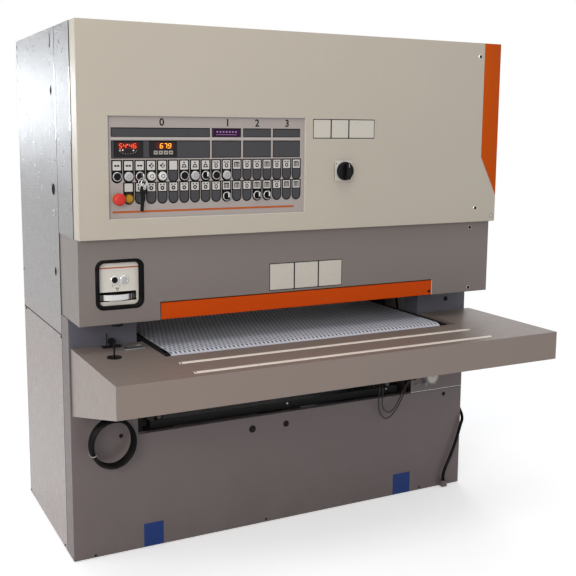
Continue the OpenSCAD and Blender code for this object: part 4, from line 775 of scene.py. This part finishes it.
for k in range(9):
    t = math.radians(205 + k * 16)
    sh.prism_y(disc(168 + 32 * math.cos(t), 1450 + 16 * math.sin(t), 0.9, 6), PLATE - 2.9, PLATE - 2, 4)
sh.prism_y(rect(262, 1450, 322, 1470), PLATE - 2.7, PLATE - 2, 1)
x = segments("67", 276, 1452, 9.0, 14.5, PLATE - 3.0, sh, 3)
segments(".", x + 1.5, 1452, 9.0, 14.5, PLATE - 3.0, sh, 3)
segments("9", x, 1452, 9.0, 14.5, PLATE - 3.0, sh, 3)
for k in range(4):
    sh.prism_y(soft(254 + k * 17.5, 1431, 268.5 + k * 17.5, 1444, 1.2, 2), PLATE - 3.2, PLATE - 2, 5)
    sh.prism_y(soft(255.3 + k * 17.5, 1432.3, 267.2 + k * 17.5, 1442.7, 1.0, 2), PLATE - 3.4, PLATE - 3, 7)
    sh.prism_y(rect(259 + k * 17.5, 1435.5, 263.5 + k * 17.5, 1440), PLATE - 3.6, PLATE - 3, 0)
sh.build("displays", TONES, "door", slot="black_plastic")


PUSH = [0, 1, 3, 4, 6, 7, 9, 10]
SEL = [(8, ROW_1), (10, ROW_2), (13, ROW_2), (14, ROW_2)]
sh = Shape()
for c, z in [(c, ROW_1) for c in PUSH] + SEL + [(2, ROW_1)]:
    sh.bezel(COLUMN[c], z, PLATE, 12.1, 15.2, 6.4)
sh.bezel(COLUMN[0], ROW_2, PLATE, 12.1, 15.2, 6.4, 1)
sh.bezel(COLUMN[1], ROW_2, PLATE, 12.1, 16.0, 7.0, 2)
sh.build("bezels", [chrome, black_plastic, amber_dark], "door", slot="key_metal")


def cap_piece(name, x, z, y, r, mat, body, crown=1.2, dish=False):
    if dish:
        profile = [(r, 0), (r, 1.4), (r - 0.8, 2.2), (r * 0.75, 1.7), (r * 0.4, 1.2), (0.05, 1.0)]
    else:
        profile = [(r, 0), (r, 1.0), (r - 0.7, 1.0 + crown * 0.6), (r * 0.6, 1.0 + crown),
                   (0.05, 1.1 + crown)]
    turned(name, profile, (x, y, z), "-y", 36, [mat], body, smooth=50)


STEM = PLATE - 5
cap_y = STEM - 2
CAPS = [black_plastic, white_plastic, lens_white, lens_white, black_plastic, white_plastic, black_plastic,
        white_plastic]
for i, (x, m) in enumerate(zip([COLUMN[c] for c in PUSH], CAPS), 1):
    body = "push_button_%d" % i
    dark = m is black_plastic
    cap_piece("push_cap_%d" % i, x, ROW_1, cap_y, 11.2 if dark else 11.9, m, body, dish=dark)
    if not dark:
        plate("cap_middle_%d" % i, disc(x, ROW_1, 7.6), cap_y - 2.25, cap_y - 1.5, [cap_grey], body)
    if m is lens_white:
        s = Shape()
        for start in (20, 140, 260):
            turns = [math.radians(start + k * 14) for k in range(7)]
            rim = [(6.6, t) for t in turns] + [(5.2, t) for t in reversed(turns)]
            outline = [(x + r * math.cos(t), ROW_1 + r * math.sin(t)) for r, t in rim]
            s.prism_y(outline, cap_y - 2.35, cap_y - 1.5)
        s.build("lens_mark_%d" % i, [mark], body)
cap_piece("amber_cap", COLUMN[1], ROW_2, cap_y, 11.8, amber_plastic, "amber_button", crown=2.0)

# Selector grips: a bar with a white pointer line
for i, (c, z) in enumerate(SEL, 1):
    x, body = COLUMN[c], "selector_%d" % i
    outline = [(x - 4.4, z - 10.6), (x + 4.4, z - 10.6), (x + 3.4, z + 10.8), (x - 3.4, z + 10.8)]
    plate("selector_grip_%d" % i, outline, cap_y - 13.5, cap_y, [knob_black], body, bevel=1.2)
    s = Shape()
    s.prism_y(rect(x - 2.4, z - 3, x + 2.4, z + 10), cap_y - 13.9, cap_y - 13)
    s.prism_z(rect(x - 2.4, cap_y - 13.6, x + 2.4, cap_y - 3), z + 9.8, z + 11.3)
    s.build("selector_line_%d" % i, [glow_white], body)

# Emergency stop: a domed mushroom over a yellow collar
DOME = [(11.5, -0.2), (13.5, 0.5), (19.0, 4.0), (20.4, 8.0), (20.2, 11.0), (18.5, 14.0), (14.5, 16.6),
        (9.0, 18.2), (4.0, 18.9), (0.05, 19.1)]
turned("e_stop_head", DOME, (COLUMN[0], STEM - 12, ROW_2), "-y", 48, [red_plastic], "e_stop", smooth=60)
ringed("e_stop_collar", COLUMN[0], ROW_2, PLATE - 4.9, 12.1, 18.5, 2.5, amber_plastic, "door")

# Key: the spare hangs from the ring, in black plastic
kx, bow_y = COLUMN[2], cap_y - 20
spare_z = ROW_1 - 29.6
RIGHT_FOB = [(5.5, -36), (10, -26), (12, -14), (9, -2), (3, 2)]
LEFT_FOB = [(-3, 2), (-8, -2), (-9.5, -14), (-8, -26), (-5.5, -36)]
plate("spare_key", [(kx + x, spare_z + z) for x, z in [(-9, -82), (2, -84)] + RIGHT_FOB + LEFT_FOB],
      bow_y - 3.2, bow_y + 3.2, [knob_black], "key_switch", bevel=1.4)
s = Shape()
s.bezel(kx + 4, spare_z + 9, bow_y - 3.4, 9.5, 12.0, 2.0, n=28)
s.bezel(kx + 5, spare_z - 8, bow_y - 3.4, 2.2, 4.2, 0.8, n=20)
s.build("key_ring", [chrome], "key_switch")
turned("key_lock_face", [(11.9, 0), (11.9, 3.2), (10.8, 4.2), (0.05, 4.2)], (kx, STEM, ROW_1), "-y", 36,
       [black_plastic], "door")

# Main switch: plate, collar, fluted knob and grip
ISX, ISZ = 975.0, 1368.0
yp = DOOR - 3
plate("switch_plate", soft(ISX - 37, ISZ - 37, ISX + 37, ISZ + 37, 4, 5), yp - 1.4, yp + 3.2, [label_white],
      "door", bevel=0.8, slot="white_plastic")
ringed("switch_collar", ISX, ISZ, yp - 1.4, 8.5, 36.0, 4.5, white_plastic, "door", n=56)
KNOB = [(33.6, 5.2), (33.2, 14.0), (32.0, 18.0), (29.5, 19.6), (24.0, 20.0)]
n, rows = 96, len(KNOB)
pts = []
for r, d in KNOB:
    for k in range(n):
        t = 2 * math.pi * k / n
        fluted = r - (1.1 if k % 4 in (0, 1) and r > 31 else 0)
        pts.append((ISX + fluted * math.cos(t), yp - d, ISZ + fluted * math.sin(t)))
s = Shape()
s.add(pts, quads(n, rows, False) + [tuple(range((rows - 1) * n, rows * n)), tuple(reversed(range(n)))])
s.build("switch_knob", [knob_black], "isolator_knob", smooth=30)
GRIP = [(ISX - 8.2, ISZ - 29), (ISX + 8.2, ISZ - 29), (ISX + 6.2, ISZ + 30), (ISX - 6.2, ISZ + 30)]
plate("switch_grip", GRIP, yp - 38.5, yp - 19, [knob_black], "isolator_knob", bevel=2.6, segments=3)
plate("switch_line", rect(ISX - 1, ISZ + 14, ISX + 1, ISZ + 27), yp - 38.9, yp - 38, [white_plastic],
      "isolator_knob")
plate("switch_dot", disc(ISX - 31, ISZ + 27, 2.2, 12), yp - 1.9, yp - 1, [mark], "door")

# Door trim, locks and bare labels
plate("corner_trim", [(1684.4, 1263), (1684.4, 1849.6), (1606, 1849.6), (1606, 1413)], DOOR - 0.8, DOOR,
      [orange_trim], "door", bevel=0.25, slot="orange_paint")


def lock(name, x, z, r=9):
    s = Shape()
    s.lathe([(r, 0), (r, 0.8), (r - 1.2, 1.8), (r - 2.4, 1.8), (r - 2.6, 0.6)], (x, DOOR, z), "-y", 28)
    s.lathe([(r - 2.7, 0), (r - 2.7, 1.2), (0.05, 1.2)], (x, DOOR, z), "-y", 24, 1)
    s.prism_y(rect(x - 0.9, z - 3.6, x + 0.9, z + 3.6), DOOR - 1.6, DOOR - 1.1, 2)
    s.build(name, [chrome, black_plastic, mark], "door")


lock("door_lock_1", 1585, 1798)
lock("door_lock_2", 1585, 1214)
turned("round_mark", [(9.5, 0), (9.5, 0.35), (8.6, 0.5), (0.05, 0.5)], (1668, DOOR, 1181), "-y", 28,
       [label_white], "door")
ringed("round_mark_ring", 1668, 1181, DOOR - 0.3, 7.6, 8.6, 0.4, mark, "door")


def blank_label(name, x0, z0, x1, z1, y, body, cells):
    s = Shape()
    s.prism_y(soft(x0, z0, x1, z1, 2, 3), y - 0.25, y, 1)
    xs = [x0] + list(cells) + [x1]
    for a, b in zip(xs, xs[1:]):
        s.prism_y(soft(a + 2.6, z0 + 3.0, b - 2.6, z1 - 3.0, 1.5, 3), y - 0.45, y - 0.1, 0)
    s.build(name, [label_white, label_edge], body)


FASCIA = -138
blank_label("label_door", 847, 1484, 1105, 1553, DOOR, "door", (921, 995))
blank_label("label_fascia", 693, 942, 995, 1041, FASCIA, "machine", (794, 894))
for name, a, b in (("label_base_l", 258, 333), ("label_base_r", 1345, 1430)):
    plate(name, soft(a, 4, b, 92, 1.5, 3), -0.3, 0, [label_blue], "machine")


# Screws, plugs and rivets
def button_screw(name, x, y, z, axis, r, mat=black_plastic):
    profile = [(r, 0), (r, 0.5), (r * 0.86, 1.6), (r * 0.5, 2.3), (r * 0.42, 2.3), (r * 0.4, 1.0), (0.05, 1.0)]
    turned(name, profile, (x, y, z), axis, 24, [mat], "machine")


for i, (x, z) in enumerate(((1588, 1134), (1591, 890))):
    button_screw("fascia_screw_%d" % i, x, FASCIA, z, "-y", 6.8)
    ringed("fascia_washer_%d" % i, x, z, FASCIA, 6.9, 8.1, 0.5, zinc, "machine")
for i, (x, z) in enumerate(((77.5, 10), (754, 14), (1480, 14))):
    button_screw("base_screw_%d" % i, x, 0, z, "-y", 4.5)
for i, x in enumerate((866, 1330)):
    button_screw("guard_rivet_%d" % i, x, 44.2, 452, "-y", 4.0, zinc)
# Folded seams: a dark joint, and beside it a chrome strip as a painted highlight on the fold's edge
s = Shape()
for y, z0, z1 in ((95.1, 3, 798), (95.1, 801, 1850), (-99.9, 1159, 1850)):
    s.box(-0.25, y - 2.0, z0, 0.3, y + 2.0, z1, 0)
    s.box(-0.2, y + 2.0, z0 + 2, 0.2, y + 4.5, z1 - 2, 1)
s.box(-0.25, 95, 797.6, 0.3, 712, 801.4, 0)
s.box(1424, -0.3, 432, 1686, 0.2, 434.4, 0)
s.box(1424, -0.25, 434.4, 1686, 0.2, 435.6, 1)
s.build("seam_lines_and_highlights", [black_for_seams_and_shade, chrome], "machine")
for i, (x, z, r) in enumerate(((694, 386, 14), (838.5, 386.5, 12.5), (178, 437, 7.6), (1594, 409, 8.8))):
    profile = [(6.8, -2.0), (6.8, 0), (r, 0), (r, 0.9), (r - 1.3, 2.2), (r * 0.42, 2.9), (0.05, 3.0)]
    turned("hole_plug_%d" % i, profile, (x, 0, z), "-y", 32, [black_plastic], "machine")
turned("column_screw", [(9.8, 0), (9.8, 2.0), (8.6, 3.0), (6.2, 3.0), (5.8, 1.2), (0.05, 1.2)],
       (1587, 0, 821), "-y", 32, [black_plastic], "machine")
for i, (y, z) in enumerate(((100, 792), (679, 792), (130, 10), (704, 10))):
    button_screw("side_screw_%d" % i, 0, y, z, "-x", 4.5)
# painted shade: black sheets behind the side door's slots stand in for the dark inside
s = Shape()
for z0, z1 in ((1785, 1834), (1622, 1663), (997, 1036)):
    s.box(2.7, 146, z0, 3.2, 164, z1)
s.box(2.7, 137, 1287, 3.2, 173, 1323)
s.build("slot_shade_backs", [black_for_seams_and_shade], "side_door")
s = Shape()
s.lathe([(10.5, 0), (10.5, 0.8), (9.0, 1.6), (6.5, 1.6)], (0, 160, 1223), "-x", 28)
s.lathe([(6.5, 1.6), (6.5, 1.2), (0.05, 1.2)], (0, 160, 1223), "-x", 20, 1)
s.build("cover_screw", [zinc, grey_plastic], "side_door")
s = Shape()
s.lathe([(13.9, -0.5), (13.9, 0.4), (15.0, 1.0), (19.0, 1.0), (20.0, 0.2), (20.0, 0)],
        (0, 155, 1305), "-x", 36)
# painted shade: two black discs stand in for the dark of two small holes
for z in (1642, 1016):
    s.lathe([(11.0, 0), (11.0, 0.5), (9.5, 1.2), (0.05, 1.2)], (0, 155, z), "-x", 28)
s.build("side_grommet_and_hole_shades", [black_for_seams_and_shade], "side_door")
for i, z in enumerate((1829, 1792, 1701, 950)):
    turned("hinge_screw_%d" % i, [(4.2, 0), (4.2, 0.8), (3.4, 1.4), (0.05, 1.5)], (0, 702, z), "-x", 20,
           [black_plastic], "side_door")

# Gauge window
s = Shape()
s.ring_band(soft(58.5, 922, 224.5, 1089, 28, 10), soft(72.5, 935, 208, 1078, 17, 10), FASCIA - 1.5, -129, 3.2)
s.build("window_rubber", [black_rubber], "machine", smooth=60)
gy, gz = -123, 1019
s = Shape()
s.prism_y(rect(66, 1057.5, 214, 1061.5), gy - 0.3, gy, 0)
s.prism_y([(130, 992), (144, 992), (137, 981)], gy - 0.3, gy, 1)
s.prism_y([(133, 990), (141, 990), (137, 984)], gy - 0.4, gy, 2)
for x in (121, 145):
    s.prism_y(disc(x, 999, 1.6, 8), gy - 0.3, gy, 1)
s.build("gauge_print", [orange_line, mark, gauge_film], "machine")
s = Shape()
for x in (127, 160):
    s.bezel(x, gz, gy - 4.8, 10.2, 14.4, 1.8)
s.build("gauge_bezels", [chrome], "machine")
cap_piece("gauge_cap_1", 127, gz, gy - 6, 9.8, black_plastic, "gauge_button_1", dish=True)
cap_piece("gauge_cap_2", 160, gz, gy - 6, 9.8, white_plastic, "gauge_button_2")

# Safety bar's nuts, shelf's strip
for i, (x, ax) in enumerate(((287.2, "x"), (1403.8, "-x"))):
    turned("bar_nut_%d" % i, [(5.5, 0), (5.5, 2.5), (4.0, 3.4), (0.05, 3.5)], (x, -120, 921), ax, 20,
           [black_plastic], "safety_bar")
turned("bar_dot", [(6, 0), (6, 1.0), (4.6, 2.0), (0.05, 2.2)], (1396, FASCIA - 1, 889), "-y", 24,
       [black_plastic], "safety_bar")
# painted highlight: a chrome strip stands in for the lit right wall of the safety bar's cut-out
s = Shape()
s.box(1408.6, -137.9, 874, 1411.4, -124, 934)
s.build("cut_out_painted_highlight", [chrome], "machine")
s = Shape()
s.prism_z(rect(168, -100, 238, -48), 772, 774)
s.build("shelf_strip", [strip_steel], "table", bevel=0.6)
s = Shape()
for x in (177, 230):
    s.lathe([(4.0, 0), (4.0, 0.8), (3.0, 1.6), (0.05, 1.7)], (x, -74, 774.1), "z", 20)
s.build("strip_screws", [black_plastic], "table")


def blunt(v):
    return math.copysign(abs(v) ** 0.6, v)


# Tie round the hose's turns, at one angle of the coil
ang = math.radians(250)
outward = Vector((math.sin(ang), 0, math.cos(ang)))
forth = Vector((math.cos(ang), 0, -math.sin(ang)))
tx, tz = coil_at(ang)
middle = Vector((tx, -48.5, tz))
n = 28
turns = [2 * math.pi * k / n for k in range(n)]
TIE_ROWS = ((-1.5, 1, 1), (1.5, 1, 1), (1.5, 1.04, 1.16), (-1.5, 1.04, 1.16))
pts = [middle + forth * side + outward * 9 * blunt(math.sin(t)) * high
       + Vector((0, 31 * blunt(math.cos(t)) * wide, 0)) for side, wide, high in TIE_ROWS for t in turns]
s = Shape()
s.add(pts, quads(n, 4, True))
s.build("hose_tie", [tie_pale], "machine", smooth=40)

# Roller ends on the shelf, pressure gauge's face
GX, GZ = 1514, 499
for k, y in enumerate((-340, -466)):
    s = Shape()
    for x, ax in ((268, "-x"), (1435, "x")):
        s.lathe([(20.15, -8), (20.15, -4.2), (19.6, -4.2), (19.6, 0), (17, 0.5), (6.0, 0.5), (0.05, 0.5)],
                (x, y, 754), ax, 32, 1)
        s.lathe([(19.9, -8.5), (20.35, -8.2), (20.35, -4.6), (19.9, -4.3)], (x, y, 754), ax, 32, 0)
    s.build("roller_ends_%d" % (k + 1), [chrome, black_plastic], "infeed_roller_%d" % (k + 1))
s = Shape()
s.bezel(GX, GZ, -21.8, 26.5, 31.8, 4.4, 0, 48)
s.lathe([(26.5, 0), (26.5, 0.6), (0.05, 0.6)], (GX, -26.2, GZ), "-y", 40, 1)
s.prism_y([(GX - 1.5, GZ), (GX, GZ - 1.5), (GX + 14, GZ + 15), (GX + 13, GZ + 16)], -27.6, -27.0, 2)
for k in range(11):
    t = math.radians(225 - 27 * k)
    p = Vector((math.cos(t), math.sin(t)))
    q = Vector((-p.y, p.x)) * 0.5
    a, b = p * 20, p * 25
    s.prism_y([(GX + v.x, GZ + v.y) for v in (a - q, b - q, b + q, a + q)], -27.2, -26.8, 2)
s.build("pressure_dial", [chrome, label_white, mark], "machine")

# Stage and light
FLOOR_LIFT = 0.45


def seen_ray(tree):
    """1 for the rays that show a background: camera, glossy and transmission rays."""
    path = tree.nodes.new("ShaderNodeLightPath")
    total = path.outputs["Is Camera Ray"]
    for kind in ("Is Glossy Ray", "Is Transmission Ray"):
        plus = tree.nodes.new("ShaderNodeMath")
        plus.operation = "ADD"
        plus.use_clamp = True
        tree.links.new(total, plus.inputs[0])
        tree.links.new(path.outputs[kind], plus.inputs[1])
        total = plus.outputs[0]
    return total


def mix(tree, fac, first, second, output):
    mx = tree.nodes.new("ShaderNodeMixShader")
    for socket, value in zip(mx.inputs, (fac, first, second)):
        tree.links.new(value, socket)
    tree.links.new(mx.outputs[0], tree.nodes[output].inputs["Surface"])


me = bpy.data.meshes.new("floor")
me.from_pydata([(-8, -8, 0), (8, -8, 0), (8, 8, 0), (-8, 8, 0)], [], [(0, 1, 2, 3)])
floor = add_object("floor", me)
pale = Mat("floor_pale", (0.88, 0.88, 0.88), 0.8, spec=0.2)
ray = seen_ray(pale.nt)
far = pale.node("ShaderNodeVectorMath", operation="LENGTH")
pale.link(pale.tc.outputs["Object"], far.inputs[0])
plain = pale.node("ShaderNodeEmission")
lift = pale.node("ShaderNodeEmission")
pale.link(pale.math("MULTIPLY", ray, FLOOR_LIFT), lift.inputs["Strength"])
lit = pale.node("ShaderNodeAddShader")
pale.link(pale.b.outputs[0], lit.inputs[0])
pale.link(lift.outputs[0], lit.inputs[1])
faded = pale.math("MULTIPLY", pale.ramp(far.outputs["Value"], 1.3, 3.2), ray)
mix(pale.nt, faded, lit.outputs[0], plain.outputs[0], "Material Output")
me.materials.append(pale.m)

world = bpy.data.worlds.new("studio")
bpy.context.scene.world = world
world.use_nodes = True
tree = world.node_tree
dim = tree.nodes["Background"]
dim.inputs["Color"].default_value = (0.92, 0.95, 1.0, 1)
dim.inputs["Strength"].default_value = 0.44
white = tree.nodes.new("ShaderNodeBackground")
white.inputs["Color"].default_value = (1, 1, 1, 1)
mix(tree, seen_ray(tree), dim.outputs[0], white.outputs[0], "World Output")


def area(name, loc, target, size, power, color):
    light = bpy.data.lights.new(name, "AREA")
    light.shape = "RECTANGLE"
    light.size, light.size_y = size
    light.energy = power
    light.color = color
    ob = add_object(name, light)
    ob.location = loc
    ob.rotation_euler = (Vector(target) - Vector(loc)).to_track_quat("-Z", "Y").to_euler()


area("key", (-3.6, -4.4, 2.5), (0, 0, 0.9), (3.0, 2.0), 116, (1.0, 0.97, 0.92))
area("above", (-0.4, -1.8, 4.4), (-0.2, -0.5, 0.8), (2.6, 1.6), 30, (1.0, 0.98, 0.95))
area("window", (-4.6, 0.6, 2.3), (-0.8, 0.3, 1.2), (2.2, 2.6), 52, (0.97, 0.98, 1.0))
area("back", (2.6, 4.6, 3.2), (0, 0.3, 1.0), (2.4, 2.0), 60, (1.0, 0.98, 0.96))
area("glare", (-1.66, 3.2, 1.71), (-0.854, 0.1, 1.6), (0.34, 0.46), 9, (0.9, 0.96, 1.0))

bpy.context.scene.view_settings.view_transform = "Standard"
